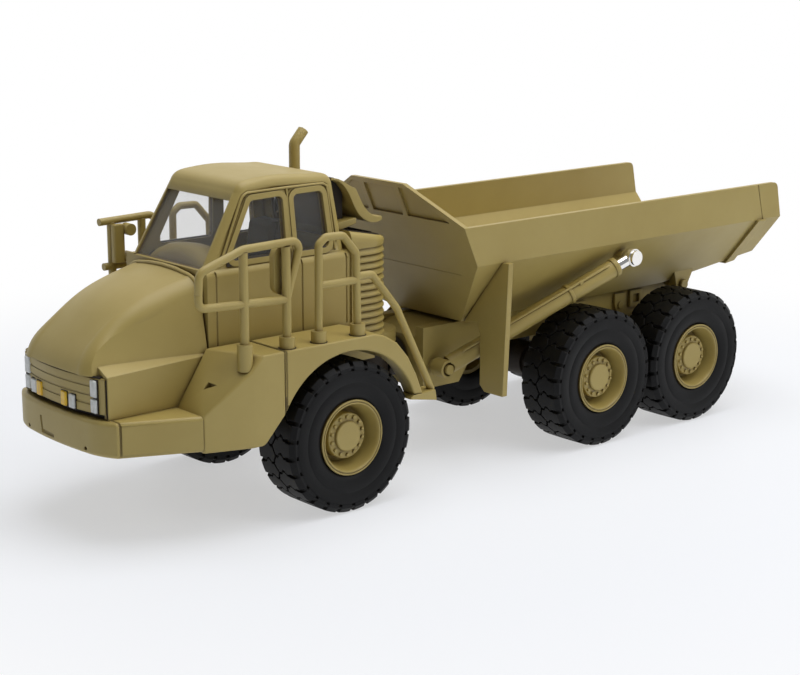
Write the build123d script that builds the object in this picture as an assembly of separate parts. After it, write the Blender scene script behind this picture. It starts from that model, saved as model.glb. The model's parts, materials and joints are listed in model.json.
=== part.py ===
"""Scale model of an articulated six-wheel dump truck.

Millimetres. +X points to the nose, +Y to the truck's left, +Z up; the floor is Z = 0 and
the origin is under the middle of the overall length.
"""

from build123d import *
import math
import os

# ---------------------------------------------------------------- driving sizes
NOSE_X = 98.5            # front of the bumper
TAIL_X = -98.5           # rear edge of the bed
FRONT_AXLE_X = 44.8
MID_AXLE_X = -30.9
REAR_AXLE_X = -63.9

# Fits
RUN_FIT = 0.05           # radial clearance of a turning pin
SEAT_FIT = 0.05          # clearance between two pieces of one unit
SIDE_PLAY = 0.4          # end play beside a turning part

# Wheels
TYRE_R = 16.15
TYRE_W = 12.0
TYRE_OUTER_Y = 28.75     # outer face of a tyre from the centre plane
TYRE_SHOULDER_W = 0.8    # width of the shoulder's bevel
TYRE_RIDGE_R = 15.1      # ring where the side wall meets the lugs
LUGS = 26                # lugs on each shoulder
LUG_GAP = 1.0            # groove between two lugs
LUG_DEPTH = 0.75
LUG_REACH = 2.2          # how far a groove runs in from the side wall
RIM_R = 7.95             # seat of the tyre on the rim
RIM_WALL = 1.0
RIM_DISH = 5.2           # depth of the dish from the outer lip
RIM_DISC_T = 2.2
RIM_INSET = 0.15         # outer lip inside the tyre's face
RIM_BACK_INSET = 1.4     # inner edge inside the tyre's other face
RIM_LIP_EDGE = 0.4       # bevel of the outer lip
BEAD = 1.2               # bevel of the tyre at the rim
HUB_R = 4.9
HUB_H = 3.2
HUB_CAP_R = 3.2
HUB_CAP_H = 0.7
AXLE_R = 1.5             # steel axle
AXLE_IN_HUB = 3.0        # how far an axle reaches into its hub
HOUSING_R = 3.4          # axle housing beam
HOUSING_END_Y = 15.6
DIFF_R = 4.2             # bulge in the middle of the housing
DIFF_L = 9.0

# Front unit: chassis
FRONT_BEAM_HALF_W = 8.0
FRONT_BEAM_Z = (20.4, 27.0)
FRONT_BEAM_X = (26.0, 92.0)
DECK_HALF_W = 15.9
DECK_Z = (33.0, 36.0)
DECK_X = (33.0, 71.5)
PEDESTAL_HALF_W = 12.0
HITCH_X = 18.0           # steering pivot
HITCH_Z = 23.0           # height of the roll axis
HITCH_GAP = 9.5          # between the yoke's arms
YOKE_ARM_T = 3.0
YOKE_R = 7.0
HITCH_PIN_R = 2.4
SLEEVE_R = 5.2
ROLL_SHAFT_R = 3.6
ROLL_SHAFT_END_X = -1.0

# Bumper and nose
BUMPER_Z = (19.0, 26.3)
BUMPER_FRONT = (97.9, 11.0)      # end of the bowed front, x and y
BUMPER_BEND = (97.1, 14.8)       # middle of the round corner
BUMPER_CORNER = (95.3, 18.4)
BUMPER_SIDE = (79.7, 25.3)
FENDER_FLARE = (70.0, 28.6)
GRILLE_Z = (27.4, 34.6)
GRILLE_HALF_W = 15.4
GRILLE_X = 97.9
GRILLE_BOW = 2.1         # set-back of the grille at its sides
GRILLE_CHEEK_X = 95.55   # back of the grille's sides, ahead of the panels
GRILLE_BACK_X = 91.0
GRILLE_BARS = 4
GRILLE_GROOVE = 0.5      # depth of the lines between the bars
GRILLE_LINE = 0.4
GRILLE_CHEEK_W = 1.6     # plain strip at each end of the bars
PANEL_Y = (14.4, 15.9)   # hood side panels
PANEL_LOW_Z = BUMPER_Z[1] + SEAT_FIT
PANEL_FRONT_X = 95.4
PANEL_REAR_TOP_X = 71.6
PANEL_REAR_LOW_X = 79.6
LEDGE_Z = (34.9, 36.4)   # outer and inner edge of the ledge on the panels, at the front
LEDGE_INNER_Y = 12.6
LEDGE_RISE = 2.2         # slope of the ledge towards the cab, degrees
HOOD_BASE_Z = 34.8
HOOD_BASE_HALF_W = 15.6  # at the cab
# The hood's crown as slices that fan out from its rear foot, level at the lip and upright at the cab:
# degrees, reach of the middle line, reach of the crease, half width at the crease
HOOD_SLICES = [(0, 26.8, 25.1, 12.8), (8, 25.3, 24.5, 11.8), (16, 23.4, 22.0, 11.5), (30, 21.0, 16.9, 11.9),
               (55, 17.8, 13.2, 12.4), (90, 17.1, 13.1, 13.1)]
HOOD_CORE = 1.0          # radius round the rear foot that the slices leave open

# Front fenders
FENDER_INNER_Y = 16.0
FENDER_OUTER_Y = 28.6
FENDER_LOW_Z = 18.7
FENDER_BREAK_X = 72.4    # front end of the deck, where the nose slope starts
FENDER_TAIL_INNER_Y = 24.6
FENDER_FACET_X = 67.2    # where the corner facet meets the deck's outer edge
FENDER_TOE_R = 2.0
SEAM_X = 61.6            # joint line across the deck
SEAM_W = 0.35
ARCH_X = FRONT_AXLE_X + 0.4
ARCH_R = 18.5
DECK_TOP_Z = 37.3

# Cab
CAB_X = (34.2, 71.0)
CAB_HALF_W = 15.0
CAB_FLOOR_Z = 36.0
CAB_BELT_Z = 52.6
CAB_WALL = 1.3
CAB_UPPER_HALF_W = 14.0  # side glass at the belt
CAB_LEAN = 0.075         # lean-in of the side glass for each mm of height
CAB_ROOF_Z = 69.9
ROOF_SEAM_Z = 67.2
ROOF_EDGE_R = 1.9        # roof edges and window pillars
WINDOW_FRAME = 1.2       # width of the raised frames round the side windows
WINDOW_PROUD = 0.35
WINDOW_R = 1.1           # round corners of the panes
GLASS_T = 0.6

# Louvred housing behind the cab
LOUVRE_REAR_X = 21.5
LOUVRE_HALF_W = 15.4
LOUVRE_R = 7.0
LOUVRE_FOOT_Z = 31.0
LOUVRE_Z = (29.5, 56.6)  # foot of the lowest rib and top edge, both at the cab's back
LOUVRE_RIBS = 9
LOUVRE_RIB_SHARE = 0.6   # rib height as a share of the pitch
LOUVRE_DEPTH = 0.9
LOUVRE_DROOP = 12.0      # degrees

# Bed
BED_PIVOT = (-73.5, 31.0)
PIVOT_PIN_R = 1.1
EAR_R = 2.2
EAR_Y = (12.6, 14.9)
BED_WALL = 1.3
BED_FLOOR_Z = 31.6
BED_FLOOR_HALF_W = 12.5
BED_HALF_W = 25.3
BED_RAIL_Z = (47.0, 55.9)
BED_KICK_X = -68.0       # where the floor starts to rise
BED_KICK_Z = 36.8        # floor at the tail
BED_HEAD_SLOPE = 0.45    # headboard: forward for each mm up
BED_HEAD_TOP_X = 10.8    # headboard at the top of the sides
GUARD_TOP_Z = 64.2
GUARD_HALF_W = 9.0
GUARD_RIB_Y = (5.2, 6.8)  # upright ribs between the guard's sunk panels
GUARD_POCKET = 0.5
TAIL_RIB_X = (-92.0, -89.0)
TAIL_RIB_T = 0.7
TAIL_CORNER_R = 1.6      # round upper corners of the sides at the tail
MUDGUARD_X = (-2.0, -0.6)
MUDGUARD_LOW_Z = 16.4
MUDGUARD_PAST = 2.1      # how far it reaches past the bed's side

# Hoist
HOIST_LOW = (6.0, 13.2, 21.8)      # lower pin, left hoist
HOIST_HIGH = (-40.9, 27.1, 43.6)   # rod's eye, left hoist
BARREL_R = 2.1
BARREL_BORE_R = 1.5
BARREL_FOOT = 1.6        # start of the barrel from its lower pin
BORE_FOOT = 2.0          # wall at the barrel's closed end
ROD_FIT = 0.05
HOIST_CLOSED_GAP = 4.5   # barrel's mouth to the upper pin at rest
ROD_FOOT_GAP = 0.4       # rod's end to the bore's end at rest
EYE_R = 2.1
EYE_HALF_W = 1.0
HOIST_BOSS_R = 1.2       # the bed's boss behind the rod's eye
BOLT_HEAD_R = 1.75
BOLT_HEAD_T = 0.8
HOIST_PIN_R = 1.1
HOIST_BALL_R = 1.45       # ball on the lower pin, in the barrel's eye
HOIST_EYE_HALF_W = 1.9

# Rear frame
RAIL_Y = (7.0, 9.8)
RAIL_Z = (24.0, 30.9)
RAIL_X = (-74.4, 9.0)


# ---------------------------------------------------------------- helpers
def block(x, y, z):
    """A box from three (low, high) ranges."""
    size = [b - a for a, b in (x, y, z)]
    centre = [(a + b) / 2 for a, b in (x, y, z)]
    return Pos(*centre) * Box(*size)


def side_plate(points, y0, y1):
    """A plate with an outline in side view, points (x, z), between two Y planes."""
    outline = Polyline(*[(x, y0, z) for x, z in points], close=True)
    return extrude(make_face(outline), amount=y1 - y0, dir=(0, 1, 0))


def cross_plate(points, x0, x1):
    """A plate with an outline in end view, points (y, z), between two X planes."""
    outline = Polyline(*[(x0, y, z) for y, z in points], close=True)
    return extrude(make_face(outline), amount=x1 - x0, dir=(1, 0, 0))


def plan_plate(points, z0, z1):
    """A plate with an outline in plan, points (x, y), between two heights."""
    outline = Polyline(*[(x, y, z0) for x, y in points], close=True)
    return extrude(make_face(outline), amount=z1 - z0, dir=(0, 0, 1))


def rod_y(x, z, radius, y0, y1):
    """A round bar across the truck."""
    return Pos(x, (y0 + y1) / 2, z) * Rot(90, 0, 0) * Cylinder(radius, abs(y1 - y0))


def rod_x(y, z, radius, x0, x1):
    """A round bar along the truck."""
    return Pos((x0 + x1) / 2, y, z) * Rot(0, 90, 0) * Cylinder(radius, abs(x1 - x0))


def rod_z(x, y, radius, z0, z1):
    """An upright round bar."""
    return Pos(x, y, (z0 + z1) / 2) * Cylinder(radius, abs(z1 - z0))


def mirrored(shape):
    """The same shape on the truck's right."""
    return mirror(shape, about=Plane.XZ)


def both(shape):
    """A left shape and its right twin."""
    return shape + mirrored(shape)


def turned_y(profile):
    """A solid turned about the Y axis from (radius, y) points."""
    face = make_face(Polyline(*[(r, y, 0) for r, y in profile], close=True))
    return revolve(face, axis=Axis.Y)


def tube(points, radius, bends):
    """A round tube along points with rounded bends."""
    path = FilletPolyline(*points, radius=bends) if len(points) > 2 else Line(*points)
    start = path @ 0
    section = Plane(origin=start, z_dir=path % 0) * Circle(radius)
    return sweep(section, path=path)


NODES = {}


# ---------------------------------------------------------------- wheels
def make_tyre():
    """A tyre about the Y axis, centred on Y = 0, out to the tips of its lugs."""
    half, edge = TYRE_W / 2, TYRE_W / 2 - TYRE_SHOULDER_W
    seat = RIM_R + SEAT_FIT
    profile = [(seat, -half + BEAD), (seat + BEAD, -half), (TYRE_RIDGE_R, -half), (TYRE_R, -edge),
               (TYRE_R, edge), (TYRE_RIDGE_R, half), (seat + BEAD, half), (seat, half - BEAD)]
    tyre = turned_y(profile)
    groove = block((TYRE_R - LUG_DEPTH, TYRE_R + 1), (half - LUG_REACH, half + 1),
                   (-LUG_GAP / 2, LUG_GAP / 2))
    grooves = []
    for i in range(LUGS):
        turn = 360 / LUGS
        grooves += [Rot(0, i * turn, 0) * groove, Rot(0, (i + 0.5) * turn, 0) * mirrored(groove)]
    return tyre - grooves


RIM_LIP_Y = TYRE_W / 2 - RIM_INSET
RIM_DISC_Y = RIM_LIP_Y - RIM_DISH
HUB_BACK_Y = RIM_DISC_Y - RIM_DISC_T - AXLE_IN_HUB + 1.0
WHEEL_CENTRE_Y = TYRE_OUTER_Y - TYRE_W / 2
AXLE_END_Y = WHEEL_CENTRE_Y + HUB_BACK_Y + AXLE_IN_HUB - SIDE_PLAY


def make_rim():
    """A dished rim, its outer face towards +Y, with a blind bore for the axle."""
    lip, disc, inner = RIM_LIP_Y, RIM_DISC_Y, RIM_R - RIM_WALL
    disc_back, back = disc - RIM_DISC_T, RIM_BACK_INSET - TYRE_W / 2
    cap, hub = disc + HUB_H + HUB_CAP_H, disc + HUB_H
    profile = [(0, HUB_BACK_Y), (HUB_R, HUB_BACK_Y), (HUB_R + 0.8, disc_back), (inner, disc_back),
               (inner, back), (RIM_R, back), (RIM_R, lip - RIM_LIP_EDGE), (inner + 0.5, lip),
               (inner, lip - RIM_LIP_EDGE), (inner - 0.9, disc), (HUB_R, disc), (HUB_R, hub),
               (HUB_CAP_R, hub), (HUB_CAP_R - 0.3, cap), (0, cap)]
    return turned_y(profile) - rod_y(0, 0, AXLE_R + RUN_FIT, HUB_BACK_Y - 1, HUB_BACK_Y + AXLE_IN_HUB)


def make_wheels():
    """Six tyres and rims, each pair a body of its own."""
    tyre, rim = make_tyre(), make_rim()
    for place, x in (("front", FRONT_AXLE_X), ("mid", MID_AXLE_X), ("rear", REAR_AXLE_X)):
        for side, sign in (("left", 1), ("right", -1)):
            turn = Rot(0, 0, 0) if sign > 0 else Rot(0, 0, 180)
            put = Pos(x, sign * WHEEL_CENTRE_Y, TYRE_R) * turn
            NODES[f"tyre_{place}_{side}"] = put * tyre
            NODES[f"rim_{place}_{side}"] = put * rim


def make_axle(x, seat_z):
    """An axle housing with its steel axle, up to the seat under a frame."""
    housing = both(rod_y(x, TYRE_R, HOUSING_R, 0, HOUSING_END_Y))
    housing += rod_y(x, TYRE_R, DIFF_R, -DIFF_L / 2, DIFF_L / 2)
    for y in (-RAIL_Y[1], RAIL_Y[0]):
        housing += block((x - 3, x + 3), (y, y + RAIL_Y[1] - RAIL_Y[0]), (TYRE_R, seat_z))
    return housing + rod_y(x, TYRE_R, AXLE_R, -AXLE_END_Y, AXLE_END_Y)


# ---------------------------------------------------------------- front unit
def make_front_frame():
    """Chassis beam, cab deck and the two-armed yoke of the steering pivot."""
    beam = block(FRONT_BEAM_X, (-FRONT_BEAM_HALF_W, FRONT_BEAM_HALF_W), FRONT_BEAM_Z)
    beam += block((DECK_X[0], DECK_X[1]), (-PEDESTAL_HALF_W, PEDESTAL_HALF_W), (FRONT_BEAM_Z[1], DECK_Z[0]))
    beam += block(DECK_X, (-DECK_HALF_W, DECK_HALF_W), DECK_Z)
    beam += block((25.0, DECK_X[0]), (-PEDESTAL_HALF_W, PEDESTAL_HALF_W), (FRONT_BEAM_Z[1], 31.0))
    low, high = HITCH_Z - HITCH_GAP / 2, HITCH_Z + HITCH_GAP / 2
    beam += block((26.0, 30.0), (-YOKE_R, YOKE_R), (low - YOKE_ARM_T, high + YOKE_ARM_T))
    for z0 in (low - YOKE_ARM_T, high):
        beam += block((HITCH_X, 28.0), (-YOKE_R, YOKE_R), (z0, z0 + YOKE_ARM_T))
        beam += rod_z(HITCH_X, 0, YOKE_R, z0, z0 + YOKE_ARM_T)
    beam -= rod_z(HITCH_X, 0, SLEEVE_R + 1.2, low, high)
    return beam - rod_z(HITCH_X, 0, HITCH_PIN_R + SEAT_FIT, low - YOKE_ARM_T - 1, high + YOKE_ARM_T + 1)


def make_hitch_pin():
    """The upright pin through the yoke, with a head."""
    low, high = HITCH_Z - HITCH_GAP / 2 - YOKE_ARM_T, HITCH_Z + HITCH_GAP / 2 + YOKE_ARM_T
    return rod_z(HITCH_X, 0, HITCH_PIN_R, low, high) + rod_z(HITCH_X, 0, HITCH_PIN_R + 1, high, high + 1)


def make_hitch():
    """Sleeve on the steering pin and the shaft that the rear unit rolls on."""
    half = HITCH_GAP / 2 - SIDE_PLAY / 2
    hitch = rod_z(HITCH_X, 0, SLEEVE_R, HITCH_Z - half, HITCH_Z + half)
    hitch += rod_x(0, HITCH_Z, ROLL_SHAFT_R, ROLL_SHAFT_END_X, HITCH_X)
    hitch += rod_x(0, HITCH_Z, half, RAIL_X[1] + SIDE_PLAY, HITCH_X - 4)
    return hitch - rod_z(HITCH_X, 0, HITCH_PIN_R + RUN_FIT, HITCH_Z - 9, HITCH_Z + 9)


def make_bumper():
    """The wrap-round bumper: bowed front, round corners and straight cheeks."""
    low, high = BUMPER_Z
    ends = [BUMPER_SIDE, (BUMPER_SIDE[0], PANEL_Y[1]), (88.0, PANEL_Y[1]), (92.5, FRONT_BEAM_HALF_W + 1)]

    def at(point, side):
        return (point[0], side * point[1], low)

    right, left = [[at(p, side) for p in (BUMPER_FRONT, BUMPER_BEND, BUMPER_CORNER)] for side in (-1, 1)]
    front = ThreePointArc(right[0], (NOSE_X, 0, low), left[0])
    back = [at(p, 1) for p in ends] + [at(p, -1) for p in reversed(ends)]
    outline = [front, ThreePointArc(*left), Polyline(left[-1], *back, right[-1]),
               ThreePointArc(*reversed(right))]
    bumper = extrude(make_face(outline), amount=high - low, dir=(0, 0, 1))
    rim = [e for e in bumper.edges() if e.length > 4 and e.center().X > BUMPER_SIDE[0] + 1
           and abs(abs(e.center().Z - (low + high) / 2) - (high - low) / 2) < 0.01
           and (abs(e.center().Y) > PANEL_Y[1] + 1 or e.center().X > 95)]
    return fillet(rim, 0.9)


def make_grille():
    """The bowed grille with its level bars."""
    w, x0, inner = GRILLE_HALF_W, GRILLE_X - GRILLE_BOW, PANEL_Y[0]
    z0, z1 = GRILLE_Z

    def bowed(setback, low, high):
        arc = ThreePointArc((x0 - setback, -w, low), (GRILLE_X - setback, 0, low), (x0 - setback, w, low))
        deep = [(x0 - setback, w), (GRILLE_CHEEK_X, w), (GRILLE_CHEEK_X, inner), (GRILLE_BACK_X, inner)]
        back = Polyline(*[(x, y, low) for x, y in deep], *[(x, -y, low) for x, y in reversed(deep)])
        return extrude(make_face([arc, back]), amount=high - low, dir=(0, 0, 1))

    grille = bowed(0, z0, z1)
    pitch = (z1 - z0) / GRILLE_BARS
    strip = GRILLE_HALF_W - GRILLE_CHEEK_W
    for i in range(1, GRILLE_BARS):
        line = z0 + i * pitch
        groove = bowed(0, line - GRILLE_LINE / 2, line + GRILLE_LINE / 2) - bowed(GRILLE_GROOVE, z0, z1)
        grille -= groove & block((GRILLE_BACK_X, NOSE_X), (-strip, strip), GRILLE_Z)
    return grille


def make_lamp(x, y, z, height, width):
    """A small standing lamp, proud of the grille."""
    lamp = block((x - 1.5, x + 0.5), (y - width / 2, y + width / 2), (z - height / 2, z + height / 2))
    return fillet(lamp.edges().filter_by(Axis.Z).sort_by(Axis.X)[-2:], 0.45)


# lamps on the grille: y, z, height, width; the two low inner pairs stand off centre, as on the model
HEADLAMPS = [(12.7, 32.4, 3.4, 2.1), (12.7, 28.9, 2.8, 2.1), (6.2, 28.8, 2.8, 2.1),
             (-12.9, 32.4, 3.4, 2.1), (-12.9, 28.9, 2.8, 2.1), (-9.3, 28.8, 2.8, 2.1)]
TURN_LAMPS = [(3.5, 28.9, 2.9, 2.1), (-6.5, 28.9, 2.9, 2.1)]


def grille_front(y):
    """X of the grille's bowed face at a distance from the middle."""
    radius = (GRILLE_HALF_W ** 2 + GRILLE_BOW ** 2) / (2 * GRILLE_BOW)
    return GRILLE_X - radius + math.sqrt(radius ** 2 - y ** 2)


def make_lamps(table):
    """Lamps from a table of (y, z, height, width)."""
    return [make_lamp(grille_front(y), y, z, height, width) for y, z, height, width in table]


def hood_slice(angle, reach, crease, half_w):
    """One closed slice of the hood: flat crown, rounded shoulders, straight sides."""
    x0 = DECK_X[1]
    c, s = math.cos(math.radians(angle)), math.sin(math.radians(angle))

    def at(r, y):
        return (x0 + r * c, y, HOOD_BASE_Z + r * s)

    rise = reach - crease
    side_w = HOOD_BASE_HALF_W + (half_w - HOOD_BASE_HALF_W) * HOOD_CORE / crease
    edge = at(crease, half_w)
    knee, bend = at(reach - 0.17 * rise, 0.7 * half_w), at(reach - 0.46 * rise, 0.92 * half_w)
    other = [(x, -y, z) for x, y, z in (edge, knee, bend)]
    crown = ThreePointArc(other[1], at(reach, 0), knee)
    foot = Polyline(edge, at(HOOD_CORE, side_w), at(HOOD_CORE, -side_w), other[0])
    shoulders = ThreePointArc(knee, bend, edge), ThreePointArc(other[0], other[2], other[1])
    return make_face([crown, shoulders[0], foot, shoulders[1]])


def make_hood():
    """The hood with its side panels, their sloping ledge, and the core behind the grille."""
    crown = loft([hood_slice(*row) for row in HOOD_SLICES])
    inner, outer = PANEL_Y
    low, top = PANEL_LOW_Z, LEDGE_Z[1]
    core = side_plate([(PANEL_FRONT_X, low), (PANEL_FRONT_X, top), (PANEL_REAR_TOP_X, top + 1),
                       (PANEL_REAR_LOW_X, low)], -outer, outer)
    half = [(LEDGE_INNER_Y, LEDGE_Z[1]), (outer, LEDGE_Z[0]), (outer + 4, LEDGE_Z[0]),
            (outer + 4, LEDGE_Z[1] + 9)]
    above = cross_plate(half + [(-y, z) for y, z in reversed(half)], 60 - PANEL_FRONT_X, 10)
    core -= Pos(PANEL_FRONT_X, 0, 0) * Rot(0, LEDGE_RISE, 0) * above
    core -= block((GRILLE_BACK_X - SEAT_FIT, NOSE_X), (-inner - SEAT_FIT, inner + SEAT_FIT),
                  (low - 1, HOOD_BASE_Z))
    core -= block((DECK_X[1], NOSE_X), (-inner, inner), (low - 1, FRONT_BEAM_Z[1]))
    return crown + core


def make_fender():
    """The left front fender: sloped nose, deck and arch, with its narrow tail."""
    arch_low, arch_high = (67.4, FENDER_LOW_Z), (60.2, TYRE_R + 10)
    outline = [(BUMPER_SIDE[0], FENDER_LOW_Z), (BUMPER_SIDE[0], BUMPER_Z[1]), (FENDER_BREAK_X, DECK_TOP_Z),
               (38.5, DECK_TOP_Z), (36.0, 36.6), (32.6, 34.6), (29.5, 31.0), (27.2, 26.8), (25.4, 22.4),
               (27.5, 22.4), (34.0, FENDER_LOW_Z), arch_low]
    whole = side_plate(outline, FENDER_INNER_Y, FENDER_OUTER_Y + 1)
    whole -= rod_y(ARCH_X, TYRE_R, ARCH_R, FENDER_INNER_Y - 1, FENDER_OUTER_Y + 2)
    whole -= side_plate([(30, 10), (arch_low[0], FENDER_LOW_Z - 0.3), arch_high, (45, 24)],
                        FENDER_INNER_Y - 1, FENDER_OUTER_Y + 2)
    toe = whole.edges().filter_by(Axis.Y).sort_by_distance((arch_low[0], FENDER_OUTER_Y, FENDER_LOW_Z))[0]
    whole = fillet(toe, FENDER_TOE_R)
    plan = plan_plate([(BUMPER_SIDE[0], FENDER_INNER_Y), BUMPER_SIDE, FENDER_FLARE, (66.0, FENDER_OUTER_Y),
                       (20.0, FENDER_OUTER_Y), (20.0, FENDER_TAIL_INNER_Y), (34.0, FENDER_TAIL_INNER_Y),
                       (34.0, FENDER_INNER_Y)], 10, 45)
    return (whole & plan) - fender_facet() - fender_seam()


def fender_facet():
    """What the slanting facet takes off the fender's front outer corner."""
    low = Vector(BUMPER_SIDE[0], BUMPER_SIDE[1], BUMPER_Z[1])
    inner = Vector(FENDER_BREAK_X, FENDER_INNER_Y, DECK_TOP_Z)
    outer = Vector(FENDER_FACET_X, FENDER_OUTER_Y, DECK_TOP_Z)
    away = (inner - low).cross(outer - low).normalized()
    away = away if away.Z > 0 else -away
    return Plane(origin=inner, z_dir=away) * (Pos(0, 0, 20) * Box(80, 80, 40))


def fender_seam():
    """The joint line across the deck and down the fender's side."""
    side = block((SEAM_X, SEAM_X + SEAM_W), (FENDER_OUTER_Y - SEAM_W, FENDER_OUTER_Y + 1),
                 (10, DECK_TOP_Z + 1))
    return side + block((SEAM_X, SEAM_X + SEAM_W), (FENDER_INNER_Y - 1, FENDER_OUTER_Y + 1),
                        (DECK_TOP_Z - SEAM_W, DECK_TOP_Z + 1))


def make_step():
    """The left step behind the wheel, hung on the fender's tail."""
    step = side_plate([(21.5, 20.2), (29.0, 21.6), (28.0, 22.4), (25.4, 22.4), (21.9, 22.6)],
                      FENDER_TAIL_INNER_Y, FENDER_OUTER_Y)
    return step - make_fender()


def make_cab_outer():
    """The closed outer form of the cab."""
    lower = block(CAB_X, (-CAB_HALF_W, CAB_HALF_W), (CAB_FLOOR_Z, CAB_BELT_Z))
    lower = fillet(lower.edges().filter_by(Axis.X).group_by(Axis.Z)[-1], 1.6)
    crown = [(61.6, 67.4), (60.5, 68.8), (57.5, CAB_ROOF_Z - 0.3), (49.5, CAB_ROOF_Z),
             (41.0, CAB_ROOF_Z - 0.6), (37.6, 68.6), (36.7, 67.2)]
    points = [(x, -CAB_HALF_W, z) for x, z in crown]
    below = [(CAB_X[0], 50.0), (CAB_X[1], 50.0), (CAB_X[1], 51.6)]
    foot = Polyline(points[-1], *[(x, -CAB_HALF_W, z) for x, z in below], points[0])
    upper = extrude(make_face([Spline(*points), foot]), amount=2 * CAB_HALF_W, dir=(0, 1, 0))
    top_w = CAB_UPPER_HALF_W - CAB_LEAN * (CAB_ROOF_Z + 1 - CAB_BELT_Z)
    lean = cross_plate([(-CAB_UPPER_HALF_W, CAB_BELT_Z - 3), (-CAB_UPPER_HALF_W, CAB_BELT_Z),
                        (-top_w, CAB_ROOF_Z + 1), (top_w, CAB_ROOF_Z + 1), (CAB_UPPER_HALF_W, CAB_BELT_Z),
                        (CAB_UPPER_HALF_W, CAB_BELT_Z - 3)], CAB_X[0] - 1, CAB_X[1] + 1)
    upper = upper & lean
    rounded = [e for e in upper.edges() if e.center().Z > CAB_BELT_Z + 3 and abs(e.center().Y) > 10]
    return lower + fillet(rounded, ROOF_EDGE_R)


# side windows in side view: x, z
SIDE_WINDOWS = [
    [(65.0, 53.8), (58.8, 65.5), (50.7, 65.7), (50.4, 53.8)],
    [(47.5, 53.8), (48.0, 65.7), (40.4, 65.8), (39.2, 53.8)],
]


def window_cut(points, spread, y0, y1):
    """A side window's outline with round corners, grown by a spread, between two Y planes."""
    outline = FilletPolyline(*[(x, y0, z) for x, z in points], radius=WINDOW_R, close=True)
    face = make_face(outline)
    if spread:
        face = offset(face, amount=spread)
    return extrude(face, amount=y1 - y0, dir=(0, 1, 0))


def lean_sheet(depth, thickness, z0=50, z1=68):
    """A sheet along the leaning side of the upper cab, its outer face at a depth."""
    faces = ((z0, 0), (z1, 0), (z1, thickness), (z0, thickness))
    outline = [(CAB_UPPER_HALF_W - depth - CAB_LEAN * (z - CAB_BELT_Z) - d, z) for z, d in faces]
    return cross_plate(outline, *CAB_X)


WINDSCREEN_HALF_W = (12.0, 11.3)     # lower and upper
WINDSCREEN_Z = (52.4, 65.6)
REAR_WINDOW_HALF_W = 9.5
REAR_WINDOW_Z = (55.0, 65.0)
INNER_TOP_Z = 66.4


def side_lean(half_w, z0, z1):
    """End-view outline of the upper cab at a half width taken at the belt."""
    low = half_w - CAB_LEAN * max(z0 - CAB_BELT_Z, 0)
    top = half_w - CAB_LEAN * (z1 - CAB_BELT_Z)
    return [(-low, z0), (low, z0), (top, z1), (-top, z1)]


def make_cab():
    """Cab shell and roof, split at the roof's seam, and the panes."""
    outer, t = make_cab_outer(), CAB_WALL
    screen_top = (61.6, ROOF_SEAM_Z)
    slope = (screen_top[0] - CAB_X[1]) / (ROOF_SEAM_Z - 51.6)
    inner = block((CAB_X[0] + t, CAB_X[1] - t), (-CAB_HALF_W + t, CAB_HALF_W - t),
                  (CAB_FLOOR_Z - 1, CAB_BELT_Z - 2.2))
    cabin = side_plate([(CAB_X[1] - t, 49.0), (CAB_X[1] - t, 51.6),
                        (CAB_X[1] - t + slope * (INNER_TOP_Z - 51.6), INNER_TOP_Z),
                        (38.0, INNER_TOP_Z), (CAB_X[0] + t, 49.0)], -CAB_HALF_W, CAB_HALF_W)
    cabin = cabin & cross_plate(side_lean(CAB_UPPER_HALF_W - t, 49.0, INNER_TOP_Z), CAB_X[0], CAB_X[1])
    shell = outer - inner - cabin
    panes = []
    for window in SIDE_WINDOWS:
        cut = window_cut(window, 0, 9.0, CAB_HALF_W + 1)
        frame = window_cut(window, WINDOW_FRAME, 9.0, CAB_HALF_W + 1)
        frame = frame & lean_sheet(-WINDOW_PROUD, 2 * WINDOW_PROUD)
        pane = cut & lean_sheet(0.4, GLASS_T)
        shell = shell + both(frame) - cut - mirrored(cut)
        panes += [pane, mirrored(pane)]
    (w0, w1), (z0, z1) = WINDSCREEN_HALF_W, WINDSCREEN_Z
    front_cut = cross_plate([(-w0, z0), (w0, z0), (w1, z1), (-w1, z1)], 55.0, CAB_X[1] + 1)
    front_cut = front_cut & side_plate([(CAB_X[1] - 4.5, 51.6), (CAB_X[1] + 3, 51.6), (66, 68),
                                        (57.0, 68)], -14, 14)
    sheet = side_plate([(CAB_X[1] - 0.4 + slope * (z - 51.6) - d, z)
                        for z, d in ((50, 0), (68, 0), (68, GLASS_T), (50, GLASS_T))], -14, 14)
    shell -= front_cut
    panes.append(front_cut & sheet)
    (z0, z1), w = REAR_WINDOW_Z, REAR_WINDOW_HALF_W
    rear_cut = block((CAB_X[0] - 1, 39.5), (-w, w), (z0, z1))
    rear_slope = (36.8 - CAB_X[0]) / (68.6 - 50.0)
    rear_sheet = side_plate([(CAB_X[0] + 0.4 + rear_slope * (z - 50) + d, z)
                             for z, d in ((50, 0), (68, 0), (68, GLASS_T), (50, GLASS_T))], -14, 14)
    shell -= rear_cut
    panes.append(rear_cut & rear_sheet)
    above = block((CAB_X[0] - 5, CAB_X[1] + 5), (-20, 20), (ROOF_SEAM_Z, CAB_ROOF_Z + 5))
    NODES["cab_roof"] = shell & above
    NODES["cab_shell"] = shell - above
    NODES["cab_glass"] = panes


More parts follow.
